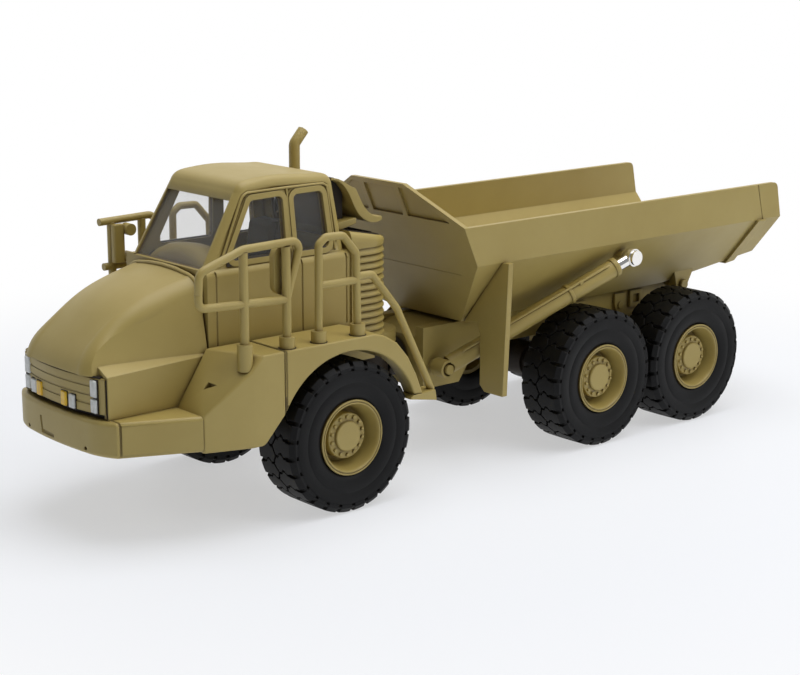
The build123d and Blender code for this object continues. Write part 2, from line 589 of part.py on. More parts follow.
def make_cab_inside():
    """Floor with dash and console, seat and steering wheel."""
    half = CAB_HALF_W - CAB_WALL - SEAT_FIT
    x0, x1 = CAB_X[0] + CAB_WALL + SEAT_FIT, CAB_X[1] - CAB_WALL - SEAT_FIT
    inside = block((x0, x1), (-half, half), (CAB_FLOOR_Z, CAB_FLOOR_Z + 1.2))
    dash = side_plate([(x1 - 7.0, CAB_FLOOR_Z), (x1, CAB_FLOOR_Z), (x1, 51.0), (x1 - 3.0, 53.0),
                       (x1 - 7.0, 51.5)], -half + 2.4, half - 2.4)
    console = block((x0, x0 + 4.0), (-half + 2.0, half - 2.0), (CAB_FLOOR_Z, 50.0))
    NODES["cab_interior"] = inside + dash + console
    floor = CAB_FLOOR_Z + 1.2
    seat = side_plate([(47.0, floor), (53.0, floor), (55.0, 43.0), (55.0, 45.0), (47.2, 45.5), (45.0, 58.5),
                       (42.6, 58.5), (43.8, 44.0)], -4.2, 4.2)
    NODES["driver_seat"] = seat
    hub = (60.5, 51.2)
    tilt = Plane(origin=(hub[0], 0, hub[1]), z_dir=(-0.45, 0, 0.89))
    wheel = tilt * Torus(3.2, 0.35) + tilt * Box(6.2, 0.8, 0.5) + tilt * Box(0.8, 6.2, 0.5)
    wheel += tilt * Pos(0, 0, -0.6) * Cylinder(0.9, 1.6)
    column = tube([(hub[0], 0, hub[1]), (x1 - 6.0, 0, hub[1] - 4.0)], 0.6, 0)
    column -= block((x1 - 7.0, x1), (-2, 2), (CAB_FLOOR_Z, 53.0))
    NODES["steering_wheel"] = wheel + column


def make_louvre_housing():
    """The rounded ribbed housing behind the cab, its top and ribs drooping to the rear."""
    x0, x1, half = LOUVRE_REAR_X, CAB_X[0], LOUVRE_HALF_W

    def ring(inset, low, high):
        body = block((x0 + inset, x1 + 6), (-half + inset, half - inset), (low, high))
        return fillet(body.edges().filter_by(Axis.Z).sort_by(Axis.X)[:2], LOUVRE_R - inset)

    def drooped(shape, z):
        return Pos(x1, 0, z) * Rot(0, -LOUVRE_DROOP, 0) * Pos(-x1, 0, -z) * shape

    low, high = LOUVRE_Z
    pitch = (high - low) / LOUVRE_RIBS
    housing = ring(LOUVRE_DEPTH, low - 3, high + 6)
    for i in range(LOUVRE_RIBS):
        foot = low + i * pitch
        housing += drooped(ring(0, foot, foot + pitch * LOUVRE_RIB_SHARE), foot)
    housing &= block((x0 - 3, x1), (-half, half), (low - 3, high + 6))
    housing &= block((x0 - 3, x1), (-half, half), (LOUVRE_FOOT_Z, high + 9))
    lid = drooped(block((x0 - 9, x1 + 9), (-half - 3, half + 3), (high, high + 19)), high)
    return housing - lid - block((DECK_X[0], x1 + 1), (-20, 20), (LOUVRE_FOOT_Z - 1, DECK_Z[1]))


WING_HALF_W = 11.4
WING_HOLLOW = 2.5        # depth of the hollow at each end of the wing


def make_wing():
    """The swept rear wing from the roof's edge to its lip over the housing, with the ledge below."""
    upper = [(36.4, 69.0), (33.6, 68.3), (30.6, 66.2), (27.6, 61.2), (25.6, 59.1), (22.8, 58.3)]
    lower = [(22.6, 57.3), (25.6, 57.2), (28.6, 59.0), (31.6, 64.0), (33.6, 66.4), (36.4, 67.3)]
    top, under = [[(x, -WING_HALF_W, z) for x, z in points] for points in (upper, lower)]
    tip = ThreePointArc(top[-1], (22.3, -WING_HALF_W, 57.8), under[0])
    outline = make_face([Spline(*top), tip, Spline(*under), Line(under[-1], top[0])])
    wing = extrude(outline, amount=2 * WING_HALF_W, dir=(0, 1, 0))
    ledge = side_plate([(36.0, 57.8), (29.6, 58.6), (29.6, 57.4), (33.9, 56.4), (36.0, 56.4)],
                       -WING_HALF_W, WING_HALF_W)
    back = side_plate([(36.2, 57.0), (36.2, 68.2), (33.8, 67.6), (31.4, 65.0), (31.4, 57.6)],
                      -WING_HALF_W + WING_HOLLOW, WING_HALF_W - WING_HOLLOW)
    return wing + ledge + back - make_cab_outer()


STACK = [(27.8, 54.0), (27.7, 72.1), (25.1, 75.0)]
STACK_Y = -12.8
STACK_R = 1.25


def make_stack():
    """The exhaust stack with its bent, slant-cut tip."""
    stack = tube([(x, STACK_Y, z) for x, z in STACK], STACK_R, 1.6)
    bore = tube([(x, STACK_Y, z) for x, z in STACK], STACK_R - 0.35, 1.6)
    bore = bore & block((20, 40), (-20, 0), (70, 90))
    trim = block((15, 40), (-20, 0), (75.7, 90))
    return stack - bore - trim


POST_R = 0.9
RAIL_R = 0.82
RAIL_SIDE_Y = 26.4
RAIL_LOW_Z = 47.3
COLLAR_R = 1.6
COLLAR_H = 2.4
FRONT_POST_X = (70.2, 59.8)
RIGHT_FRONT_POST_X = (67.6, 59.8)
MIDDLE_POST_X = (51.8, 41.6)


def make_collars(posts):
    """The collars round the feet of some posts."""
    return [rod_z(x, RAIL_SIDE_Y, COLLAR_R, DECK_TOP_Z - 3.0, DECK_TOP_Z + COLLAR_H) for x in posts]


def make_front_loop():
    """The left front rails: a long loop out over the slope on two posts."""
    y, low = RAIL_SIDE_Y, RAIL_LOW_Z
    front, rear = FRONT_POST_X
    loop = tube([(rear, y, low), (56.0, y, 58.9), (front, y, 58.6), (80.6, y, 55.2), (80.9, y, 51.0)],
                RAIL_R, [1.7, 3.0, 2.0])
    loop += tube([(80.9, y, 51.0), (80.9, y, low + 0.9), (rear, y, low)], RAIL_R, 1.6)
    for x in FRONT_POST_X:
        loop += rod_z(x, y, POST_R, DECK_TOP_Z - 3.0, 58.0)
    return loop


def make_short_loop():
    """The right front rails, as on the left side: a short loop that carries the mirror."""
    y, low = RAIL_SIDE_Y, RAIL_LOW_Z
    loop = tube([(70.6, y, 57.2), (56.0, y, 57.6), (56.0, y, low), (69.8, y, low)], RAIL_R, [2.2, 2.2])
    for x in RIGHT_FRONT_POST_X:
        loop += rod_z(x, y, POST_R, DECK_TOP_Z - 3.0, 57.0)
    return loop


def make_handrails(front_loop, posts):
    """One deck's handrails: front loop, middle loop and the sloping ladder rail."""
    y, foot = RAIL_SIDE_Y, DECK_TOP_Z
    front, rear = MIDDLE_POST_X
    rails = front_loop + tube([(front, y, foot), (51.6, y, 57.4), (49.8, y, 58.7), (45.4, y, 58.6),
                               (41.9, y, 54.6), (rear, y, foot)], RAIL_R, [1.1, 1.1, 1.4, 1.4])
    rails += tube([(51.6, y, 48.9), (41.8, y, 48.9)], RAIL_R, 0)
    rails += tube([(41.8, y, 49.6), (37.8, y, 49.6), (31.0, y, 41.4), (21.8, y + 0.6, 22.4)],
                  RAIL_R, [1.6, 4.0])
    for collar in make_collars(list(posts) + list(MIDDLE_POST_X)):
        rails += collar
    return rails - make_step() - make_fender()


MIRROR_X = (56.9, 61.7)
MIRROR_Z = (47.9, 57.9)


def make_mirror():
    """The left mirror: an upright oblong with a sunk slot, on two arms off the front loop."""
    y, outer = RAIL_SIDE_Y, RAIL_SIDE_Y + RAIL_R
    (x0, x1), (z0, z1) = MIRROR_X, MIRROR_Z
    plate = block(MIRROR_X, (y - 3.0, y - 1.5), MIRROR_Z)
    plate = fillet(plate.edges().filter_by(Axis.Y), 2.2)
    slot = block((x0 + 1.6, x1 - 1.6), (y - 2.1, outer), (z0 + 1.8, z1 - 1.8))
    plate -= fillet(slot.edges().filter_by(Axis.Y), 0.7)
    for z in (z0 + 0.9, z1 - 0.9):
        plate += rod_y((x0 + x1) / 2, z, 0.7, y - 2.0, y - POST_R + 0.1)
    return plate


RIGHT_MIRROR_X = (65.6, 68.4)


def make_right_mirror():
    """The right mirror, as on the left side: a thick upright plate with two round bosses."""
    y = RAIL_SIDE_Y
    plate = block(RIGHT_MIRROR_X, (y - 2.6, y - RAIL_R - 0.02), (48.3, 56.6))
    plate = fillet(plate.edges().filter_by(Axis.Z), 0.6)
    for z in (55.4, 49.2):
        plate += rod_y(64.6, z, 1.3, y - 3.4, y - RAIL_R - 0.1)
        plate += rod_x(y - 1.9, z, 0.6, 64.6, RIGHT_MIRROR_X[0] + 0.5)
    return plate


# ---------------------------------------------------------------- rear unit
def make_rear_frame():
    """Two rails with cross-members, the roll bearing, hoist feet and the bed's pivot ears."""
    frame = both(block(RAIL_X, RAIL_Y, RAIL_Z))
    for x in (-70.0, -47.4, -12.0):
        frame += block((x - 2, x + 2), (-RAIL_Y[1], RAIL_Y[1]), (RAIL_Z[0] + 0.5, RAIL_Z[1] - 1.0))
    low, high = HITCH_Z - 6.4, RAIL_Z[1]
    frame += side_plate([(-8.0, RAIL_Z[0] + 1), (-2.0, low), (RAIL_X[1], low), (RAIL_X[1], 28.4),
                         (RAIL_X[1] - 4.0, 30.2), (-8.0, high)], -RAIL_Y[1], RAIL_Y[1])
    frame -= rod_x(0, HITCH_Z, ROLL_SHAFT_R + RUN_FIT, ROLL_SHAFT_END_X - SIDE_PLAY, RAIL_X[1] + 1)
    x, y, z = HOIST_LOW
    frame += both(rod_y(x, z, HOIST_BALL_R, RAIL_Y[1], y - HOIST_EYE_HALF_W - SIDE_PLAY))
    frame += both(rod_y(x, z, HOIST_PIN_R, RAIL_Y[1], y + HOIST_EYE_HALF_W + 0.6))
    frame += both(Pos(x, y, z) * Sphere(HOIST_BALL_R))
    px, pz = BED_PIVOT
    frame += both(rod_y(px, pz, PIVOT_PIN_R, RAIL_Y[0], EAR_Y[1] + 0.6))
    for axle_x in (MID_AXLE_X, REAR_AXLE_X):
        seat = (axle_x - 3.4, axle_x + 3.4)
        frame += both(block(seat, RAIL_Y, (RAIL_Z[0] - 2.0, RAIL_Z[0])))
    return frame


def make_bogie_beams():
    """The two walking beams between the rear axles."""
    y0, y1 = RAIL_Y[1] + 0.4, HOUSING_END_Y - 1.0
    mid = (MID_AXLE_X + REAR_AXLE_X) / 2
    beam = side_plate([(REAR_AXLE_X - 3.5, 19.8), (REAR_AXLE_X + 4, 19.8), (mid - 3, 18.0), (mid + 3, 18.0),
                       (MID_AXLE_X - 4, 19.8), (MID_AXLE_X + 3.5, 19.8), (MID_AXLE_X + 3.5, 22.4),
                       (mid + 4, 25.5), (mid - 4, 25.5), (REAR_AXLE_X - 3.5, 22.4)], y0, y1)
    pin = rod_y(mid, 24.6 + 1.2, 1.6, RAIL_Y[1], y1)
    return beam + pin


# ---------------------------------------------------------------- bed
def head_x(z):
    """X of the headboard's outer face at a height."""
    return BED_HEAD_TOP_X + BED_HEAD_SLOPE * (z - BED_RAIL_Z[1])


def trough_section(x, floor_z, inset, top_z):
    """A closed cross-section of the trough at an X, inset by a wall."""
    w_low, w = BED_FLOOR_HALF_W, BED_HALF_W
    slope = (w - w_low) / (BED_RAIL_Z[0] - BED_FLOOR_Z)
    rail_z = BED_RAIL_Z[0] + inset * 0.45
    low = w - inset - slope * (rail_z - floor_z - inset)
    half = [(low, floor_z + inset), (w - inset, rail_z), (w - inset, top_z)]
    pts = [(x, y, z) for y, z in half] + [(x, -y, z) for y, z in reversed(half)]
    return make_face(Polyline(*pts, close=True))


def trough(inset, top_z, x_rear, x_front):
    """The trough's body from the tail to the front, its floor kicked up at the tail."""
    kick = (BED_KICK_Z - BED_FLOOR_Z) / (BED_KICK_X - TAIL_X)
    rear_z = BED_FLOOR_Z + kick * (BED_KICK_X - x_rear)
    front = [trough_section(x, BED_FLOOR_Z, inset, top_z) for x in (BED_KICK_X, x_front)]
    tail = trough_section(x_rear, rear_z, inset, top_z)
    return loft([front[0], front[1]], ruled=True) + loft([tail, front[0]], ruled=True)


def make_bed():
    """The open bed with its sloping headboard, guard, rails, tail rib and pivot ears."""
    z_top = BED_RAIL_Z[1]
    body = trough(0, z_top, TAIL_X, 16.0) - trough(BED_WALL, z_top + 1, TAIL_X - 1, 16.5)
    ahead = side_plate([(head_x(20), 20), (40, 20), (40, 70), (head_x(70), 70)], -40, 40)
    body -= ahead
    outline = cross_plate([(-BED_FLOOR_HALF_W, BED_FLOOR_Z), (BED_FLOOR_HALF_W, BED_FLOOR_Z),
                           (BED_HALF_W, BED_RAIL_Z[0]), (BED_HALF_W, z_top),
                           (GUARD_HALF_W, GUARD_TOP_Z), (-GUARD_HALF_W, GUARD_TOP_Z),
                           (-BED_HALF_W, z_top), (-BED_HALF_W, BED_RAIL_Z[0])], -10, 30)
    t = BED_WALL
    head = side_plate([(head_x(BED_FLOOR_Z), BED_FLOOR_Z), (head_x(GUARD_TOP_Z), GUARD_TOP_Z),
                       (head_x(GUARD_TOP_Z) - t, GUARD_TOP_Z), (head_x(BED_FLOOR_Z) - t, BED_FLOOR_Z)],
                      -30, 30)
    body += head & outline
    pocket_z = (BED_RAIL_Z[1] + 0.6, GUARD_TOP_Z - 1.1)
    rib_in, rib_out = GUARD_RIB_Y
    side = [(rib_out, pocket_z[0]), (BED_HALF_W - 4.6, pocket_z[0]), (GUARD_HALF_W + 0.6, pocket_z[1]),
            (rib_out, pocket_z[1])]
    pockets = both(cross_plate(side, -10, 30)) + block((-10, 30), (-rib_in, rib_in), pocket_z)
    skin = side_plate([(head_x(50), 50), (head_x(70), 70), (head_x(70) - GUARD_POCKET, 70),
                       (head_x(50) - GUARD_POCKET, 50)], -30, 30)
    body -= pockets & skin
    tail_cut = side_plate([(TAIL_X - 3, BED_RAIL_Z[0]), (TAIL_X, BED_RAIL_Z[0]), (TAIL_X + 2.2, z_top + 2),
                           (TAIL_X - 3, z_top + 2)], -40, 40)
    body -= tail_cut
    corners = [e for e in body.edges().filter_by(Axis.Y)
               if e.center().X < TAIL_X + 3 and e.center().Z > z_top - 0.1]
    body = fillet(corners, TAIL_CORNER_R)
    px, pz = BED_PIVOT
    inside = trough(BED_WALL * 0.5, z_top + 1, TAIL_X - 1, 16.5)
    ear = side_plate([(px - 5.0, 36.0), (px - EAR_R, pz), (px + EAR_R, pz), (px + 3.5, 36.0)], *EAR_Y)
    ear = ear + rod_y(px, pz, EAR_R, *EAR_Y) - rod_y(px, pz, PIVOT_PIN_R + RUN_FIT, 12, 16) - inside
    hx, hy, hz = HOIST_HIGH
    boss = rod_y(hx, hz, HOIST_BOSS_R, 20.0, hy - EYE_HALF_W - 3 * SIDE_PLAY) - inside
    band = block(TAIL_RIB_X, (-40, 40), (BED_FLOOR_Z, BED_RAIL_Z[0]))
    rib = (trough(-TAIL_RIB_T, BED_RAIL_Z[0], TAIL_X, 16.0) & band) - inside
    return body + both(ear) + both(boss) + rib


def make_mudguard():
    """The left mudguard plate ahead of the middle wheels."""
    low_z, outer = MUDGUARD_LOW_Z, BED_HALF_W + MUDGUARD_PAST
    plate = cross_plate([(19.9, low_z), (outer - 1.5, low_z), (outer, BED_RAIL_Z[0]),
                         (BED_HALF_W, BED_RAIL_Z[0]), (12.9, BED_FLOOR_Z), (17.4, BED_FLOOR_Z + 0.6),
                         (18.4, BED_FLOOR_Z - 2.0), (18.4, low_z + 1.5)], *MUDGUARD_X)
    keep_out = trough(-SEAT_FIT, BED_RAIL_Z[1] + 5, TAIL_X, 16.0)
    return plate - keep_out


# ---------------------------------------------------------------- hoist
def hoist_length():
    """Pin to pin length of a hoist at rest."""
    return math.dist(HOIST_LOW, HOIST_HIGH)


def along_hoist(shape):
    """Set a shape made along +Z from the lower pin onto the left hoist."""
    way = Vector(*HOIST_HIGH) - Vector(*HOIST_LOW)
    across = Vector(0, 1, 0).cross(way)
    return Plane(origin=HOIST_LOW, x_dir=across, z_dir=way) * shape


def bar_z(radius, z0, z1):
    """A round bar along the hoist's own axis."""
    return rod_z(0, 0, radius, z0, z1)


def cross_pin(point, radius, half):
    """A round bar across the truck through a point."""
    x, y, z = point
    return rod_y(x, z, radius, y - half, y + half)


def make_barrel():
    """The left hoist's barrel with its eye, collar and gland."""
    mouth = hoist_length() - HOIST_CLOSED_GAP
    collar = 0.71 * mouth
    barrel = bar_z(BARREL_R, BARREL_FOOT, mouth)
    barrel += bar_z(BARREL_R + 0.3, collar, collar + 0.9) + bar_z(BARREL_R + 0.2, mouth - 1.2, mouth)
    barrel -= bar_z(BARREL_BORE_R, BARREL_FOOT + BORE_FOOT, mouth + 1)
    barrel = along_hoist(barrel) + cross_pin(HOIST_LOW, BARREL_R, HOIST_EYE_HALF_W)
    return barrel - cross_pin(HOIST_LOW, HOIST_BALL_R + RUN_FIT, 5)


def make_rod():
    """The left hoist's bright rod with its eye."""
    foot = BARREL_FOOT + BORE_FOOT + ROD_FOOT_GAP
    rod = along_hoist(bar_z(BARREL_BORE_R - ROD_FIT, foot, hoist_length() - 1.0))
    rod += cross_pin(HOIST_HIGH, EYE_R, EYE_HALF_W)
    x, y, z = HOIST_HIGH
    return rod + rod_y(x, z, BOLT_HEAD_R, y, y + EYE_HALF_W + BOLT_HEAD_T)


# ---------------------------------------------------------------- assembly
def build():
    """Fill the table of nodes."""
    make_wheels()
    NODES["front_frame"] = make_front_frame()
    NODES["front_axle"] = make_axle(FRONT_AXLE_X, FRONT_BEAM_Z[0])
    NODES["hitch_pin"] = make_hitch_pin()
    NODES["hitch"] = make_hitch()
    NODES["bumper"] = make_bumper()
    grille, headlamps, turn_lamps = make_grille(), make_lamps(HEADLAMPS), make_lamps(TURN_LAMPS)
    for lamp in headlamps + turn_lamps:
        grille -= lamp
    NODES["grille"] = grille
    NODES["headlamps"] = headlamps
    NODES["turn_lamps"] = turn_lamps
    NODES["hood"] = make_hood()
    make_cab()
    make_cab_inside()
    NODES["louvre_housing"] = make_louvre_housing()
    NODES["rear_wing"] = make_wing() - NODES["louvre_housing"]
    NODES["exhaust_stack"] = make_stack() - NODES["louvre_housing"]
    for side, turn in (("left", lambda s: s), ("right", mirrored)):
        NODES[f"fender_{side}"] = turn(make_fender())
        NODES[f"step_{side}"] = turn(make_step())
        NODES[f"mudguard_{side}"] = turn(make_mudguard())
        NODES[f"hoist_barrel_{side}"] = turn(make_barrel())
        NODES[f"hoist_rod_{side}"] = turn(make_rod())
    NODES["handrails_left"] = make_handrails(make_front_loop(), FRONT_POST_X)
    NODES["handrails_right"] = mirrored(make_handrails(make_short_loop(), RIGHT_FRONT_POST_X))
    NODES["mirror_left"] = make_mirror() - NODES["handrails_left"]
    NODES["mirror_right"] = mirrored(make_right_mirror()) - NODES["handrails_right"]
    NODES["rear_frame"] = make_rear_frame()
    NODES["mid_axle"] = make_axle(MID_AXLE_X, RAIL_Z[0] - 2.0)
    NODES["rear_axle"] = make_axle(REAR_AXLE_X, RAIL_Z[0] - 2.0)
    beam = make_bogie_beams()
    NODES["bogie_beams"] = [beam, mirrored(beam)]
    NODES["dump_bed"] = make_bed()


def as_shape(item):
    """One compound for a list of solids, or the shape itself."""
    if isinstance(item, list):
        solids = [s for piece in item for s in piece.solids()]
        return Compound(children=solids) if len(solids) > 1 else solids[0]
    return item


build()
os.makedirs("parts", exist_ok=True)
for name, item in NODES.items():
    export_step(as_shape(item), f"parts/{name}.step")
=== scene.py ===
"""Looks of a die-cast articulated dump truck model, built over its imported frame.

Lengths in the tables below are millimetres; meshes are written in metres. +X points to the nose,
+Y to the truck's left, +Z up, and the floor is Z = 0.
"""

import json
import logging
import math
from dataclasses import dataclass
from enum import Enum
from typing import Union

import bmesh
import bpy
from mathutils import Matrix, Vector


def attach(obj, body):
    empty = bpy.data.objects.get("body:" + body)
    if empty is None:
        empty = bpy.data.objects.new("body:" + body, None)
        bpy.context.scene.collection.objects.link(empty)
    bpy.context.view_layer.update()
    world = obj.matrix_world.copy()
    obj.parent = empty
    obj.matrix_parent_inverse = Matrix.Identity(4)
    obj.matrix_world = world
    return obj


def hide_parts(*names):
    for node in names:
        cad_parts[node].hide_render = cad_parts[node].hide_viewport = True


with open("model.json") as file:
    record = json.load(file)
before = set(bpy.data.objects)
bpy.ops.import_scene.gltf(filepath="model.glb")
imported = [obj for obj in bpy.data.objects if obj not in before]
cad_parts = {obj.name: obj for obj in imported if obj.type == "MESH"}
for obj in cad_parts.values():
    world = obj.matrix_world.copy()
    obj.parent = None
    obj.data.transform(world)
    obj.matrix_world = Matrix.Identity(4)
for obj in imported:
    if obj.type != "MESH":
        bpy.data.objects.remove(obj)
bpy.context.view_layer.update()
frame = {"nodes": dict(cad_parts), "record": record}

MM = 0.001
SIDES = (("left", 1), ("right", -1))
AXLES = (("front", 44.8), ("mid", -30.9), ("rear", -63.9))
WHEEL_Y = 22.75
MASK_SAMPLES = 4        # rays of the masks of the painted edge highlight and the painted crevice shade
HIGHLIGHT_GAIN = 3.0         # contrast of the mask of the painted edge highlight
OPEN_SHARE = 0.85       # openness above which no painted crevice shade is laid
MARK_CONTRAST = 3.0     # power that sharpens handling marks
SHADE_REACH_MM = 1.4     # how far the painted shade of a crevice reaches onto the paint beside it
MERGE_MM = 0.002        # points of a CAD mesh that are one
FLAT_DEGREES = 0.8      # faces this flat to each other are one
BEVEL_DEGREES = 34      # edges sharper than this are rounded
SHARP_DEGREES = 36      # edges sharper than this stay sharp
Source = Union[bpy.types.NodeSocket, float, tuple]
log = logging.getLogger("dump_truck")


class Slot(Enum):
    """Material slots of the record."""

    PAINT = "sand_paint"
    RUBBER = "tyre_rubber"
    BRIGHT = "bright_metal"
    CLEAR = "clear_plastic"
    DARK = "dark_plastic"
    BLACK = "dark_metal"
    LENS = "lamp_lens"
    AMBER = "amber_lens"


# ---------------------------------------------------------------- shader groups
def start_group(name: str, inputs: list, outputs: list) -> tuple:
    """Start a shader node group with named sockets.

    Args:
        name: the group's name.
        inputs: rows of socket name, socket kind and value.
        outputs: rows of socket name and socket kind.

    Returns:
        The tree, its input node and its output node.
    """
    tree = bpy.data.node_groups.new(name, "ShaderNodeTree")
    for label, kind, value in inputs:
        tree.interface.new_socket(name=label, in_out="INPUT", socket_type=kind).default_value = value
    for label, kind in outputs:
        tree.interface.new_socket(name=label, in_out="OUTPUT", socket_type=kind)
    return tree, tree.nodes.new("NodeGroupInput"), tree.nodes.new("NodeGroupOutput")


def noise(tree: bpy.types.NodeTree, detail: float, roughness: float) -> bpy.types.Node:
    """Add a noise texture that reads Object coordinates.

    Args:
        tree: the tree to add to.
        detail: octaves of the noise.
        roughness: share of the fine octaves.

    Returns:
        The noise node.
    """
    place = tree.nodes.new("ShaderNodeTexCoord")
    texture = tree.nodes.new("ShaderNodeTexNoise")
    texture.inputs["Detail"].default_value = detail
    texture.inputs["Roughness"].default_value = roughness
    tree.links.new(place.outputs["Object"], texture.inputs["Vector"])
    return texture


def math_node(tree: bpy.types.NodeTree, operation: str, first: Source, second: Source,
              clamp: bool = False) -> bpy.types.NodeSocket:
    """Add a Math node.

    Args:
        tree: the tree to add to.
        operation: the node's operation.
        first: a socket or a number.
        second: a socket or a number.
        clamp: whether the result stays between 0 and 1.

    Returns:
        The result's socket.
    """
    node = tree.nodes.new("ShaderNodeMath")
    node.operation, node.use_clamp = operation, clamp
    for socket, value in zip(node.inputs, (first, second)):
        if isinstance(value, (int, float)):
            socket.default_value = value
        else:
            tree.links.new(value, socket)
    return node.outputs[0]


def mix_colour(tree: bpy.types.NodeTree, factor: Source, first: Source, second: Source,
               blend: str = "MIX") -> bpy.types.NodeSocket:
    """Add a colour Mix node.

    Args:
        tree: the tree to add to.
        factor: a socket or a number.
        first: a socket or a colour.
        second: a socket or a colour.
        blend: the blend type.

    Returns:
        The result's socket.
    """
    node = tree.nodes.new("ShaderNodeMix")
    node.data_type, node.blend_type = "RGBA", blend
    for socket, value in ((node.inputs[0], factor), (node.inputs[6], first), (node.inputs[7], second)):
        if isinstance(value, (int, float, tuple)):
            socket.default_value = value
        else:
            tree.links.new(value, socket)
    return node.outputs[2]


class ShaderGroups:
    """Effects that more than one finish uses, each built once."""

    def __init__(self) -> None:
        """Build every group."""
        self.grain = self.build_grain()
        self.tone = self.build_tone()
        self.edge = self.build_edge_highlight()
        self.crevice = self.build_crevice_shade()
        self.fingers = self.build_fingers()

    @staticmethod
    def build_grain() -> bpy.types.NodeTree:
        """Build the fine unevenness of a sprayed or moulded skin, as a height.

        Returns:
            The group.
        """
        tree, given, result = start_group(
            "skin_grain",
            [("Grain Scale", "NodeSocketFloat", 4000.0), ("Swell Scale", "NodeSocketFloat", 500.0),
             ("Swell Share", "NodeSocketFloat", 0.4)],
            [("Height", "NodeSocketFloat")])
        fine, broad = noise(tree, 3.0, 0.6), noise(tree, 1.0, 0.5)
        tree.links.new(given.outputs["Grain Scale"], fine.inputs["Scale"])
        tree.links.new(given.outputs["Swell Scale"], broad.inputs["Scale"])
        swell = math_node(tree, "MULTIPLY", broad.outputs["Fac"], given.outputs["Swell Share"])
        tree.links.new(math_node(tree, "ADD", fine.outputs["Fac"], swell), result.inputs["Height"])
        return tree

    @staticmethod
    def build_tone() -> bpy.types.NodeTree:
        """Build a slow drift of a colour between two tones, and of its roughness.

        Returns:
            The group.
        """
        tree, given, result = start_group(
            "tone_drift",
            [("Light Tone", "NodeSocketColor", (1, 1, 1, 1)),
             ("Deep Tone", "NodeSocketColor", (0, 0, 0, 1)),
             ("Scale", "NodeSocketFloat", 60.0), ("Low Roughness", "NodeSocketFloat", 0.4),
             ("High Roughness", "NodeSocketFloat", 0.5)],
            [("Color", "NodeSocketColor"), ("Roughness", "NodeSocketFloat")])
        drift = noise(tree, 4.0, 0.55)
        tree.links.new(given.outputs["Scale"], drift.inputs["Scale"])
        ramp = tree.nodes.new("ShaderNodeMapRange")
        ramp.inputs["From Min"].default_value = 0.3
        ramp.inputs["From Max"].default_value = 0.7
        tree.links.new(drift.outputs["Fac"], ramp.inputs["Value"])
        share = ramp.outputs["Result"]
        colour = mix_colour(tree, share, given.outputs["Light Tone"], given.outputs["Deep Tone"])
        tree.links.new(colour, result.inputs["Color"])
        span = math_node(tree, "SUBTRACT", given.outputs["High Roughness"],
                         given.outputs["Low Roughness"])
        rise = math_node(tree, "MULTIPLY", span, share)
        rough = math_node(tree, "ADD", rise, given.outputs["Low Roughness"])
        tree.links.new(rough, result.inputs["Roughness"])
        return tree

    @staticmethod
    def build_edge_highlight() -> bpy.types.NodeTree:
        """Build a mask of the outer edges, where a painted highlight is laid, and the edges' rounded
        normal.

        Returns:
            The group.
        """
        tree, given, result = start_group(
            "edge_highlight_mask", [("Radius", "NodeSocketFloat", 0.0003), ("Gain", "NodeSocketFloat", HIGHLIGHT_GAIN)],
            [("Mask", "NodeSocketFloat"), ("Normal", "NodeSocketVector")])
        bevel = tree.nodes.new("ShaderNodeBevel")
        bevel.samples = MASK_SAMPLES
        tree.links.new(given.outputs["Radius"], bevel.inputs["Radius"])
        facing = tree.nodes.new("ShaderNodeNewGeometry")
        dot = tree.nodes.new("ShaderNodeVectorMath")
        dot.operation = "DOT_PRODUCT"
        tree.links.new(bevel.outputs["Normal"], dot.inputs[0])
        tree.links.new(facing.outputs["Normal"], dot.inputs[1])
        away = math_node(tree, "SUBTRACT", 1.0, dot.outputs["Value"])
        mask = math_node(tree, "MULTIPLY", away, given.outputs["Gain"], True)
        tree.links.new(mask, result.inputs["Mask"])
        tree.links.new(bevel.outputs["Normal"], result.inputs["Normal"])
        return tree

    @staticmethod
    def build_crevice_shade() -> bpy.types.NodeTree:
        """Build a mask of seams and corners from ambient occlusion, where a colour of painted shade is
        laid.

        Returns:
            The group.
        """
        tree, given, result = start_group(
            "crevice_shade_mask", [("Distance", "NodeSocketFloat", 0.0015), ("Gain", "NodeSocketFloat", 1.0)],
            [("Mask", "NodeSocketFloat")])
        shade = tree.nodes.new("ShaderNodeAmbientOcclusion")
        shade.samples = MASK_SAMPLES
        tree.links.new(given.outputs["Distance"], shade.inputs["Distance"])
        deep = math_node(tree, "SUBTRACT", OPEN_SHARE, shade.outputs["AO"])
        mask = math_node(tree, "MULTIPLY", deep, given.outputs["Gain"], True)
        tree.links.new(mask, result.inputs["Mask"])
        return tree

    @staticmethod
    def build_fingers() -> bpy.types.NodeTree:
        """Build the faint cloudy marks that handling leaves on glass and plating.

        Returns:
            The group.
        """
        tree, given, result = start_group(
            "handling_marks", [("Scale", "NodeSocketFloat", 120.0), ("Amount", "NodeSocketFloat", 0.1)],
            [("Mask", "NodeSocketFloat")])
        cloud = noise(tree, 5.0, 0.7)
        tree.links.new(given.outputs["Scale"], cloud.inputs["Scale"])
        sharp = math_node(tree, "POWER", cloud.outputs["Fac"], MARK_CONTRAST)
        mask = math_node(tree, "MULTIPLY", sharp, given.outputs["Amount"], True)
        tree.links.new(mask, result.inputs["Mask"])
        return tree


GROUPS = ShaderGroups()


# ---------------------------------------------------------------- finishes
def start_material(name: str) -> tuple:
    """Start a node material with a Principled shader.

    Args:
        name: the material's name.

    Returns:
        The material, its tree and its Principled node.
    """
    material = bpy.data.materials.new(name)
    material.use_nodes = True
    tree = material.node_tree
    return material, tree, next(n for n in tree.nodes if n.type == "BSDF_PRINCIPLED")


def use_group(tree: bpy.types.NodeTree, group: bpy.types.NodeTree, values: dict) -> bpy.types.Node:
    """Place a shared group in a material.

    Args:
        tree: the material's tree.
        group: the group to place.
        values: values of its inputs by name.

    Returns:
        The group's node.
    """
    node = tree.nodes.new("ShaderNodeGroup")
    node.node_tree = group
    for label, value in values.items():
        node.inputs[label].default_value = value
    return node


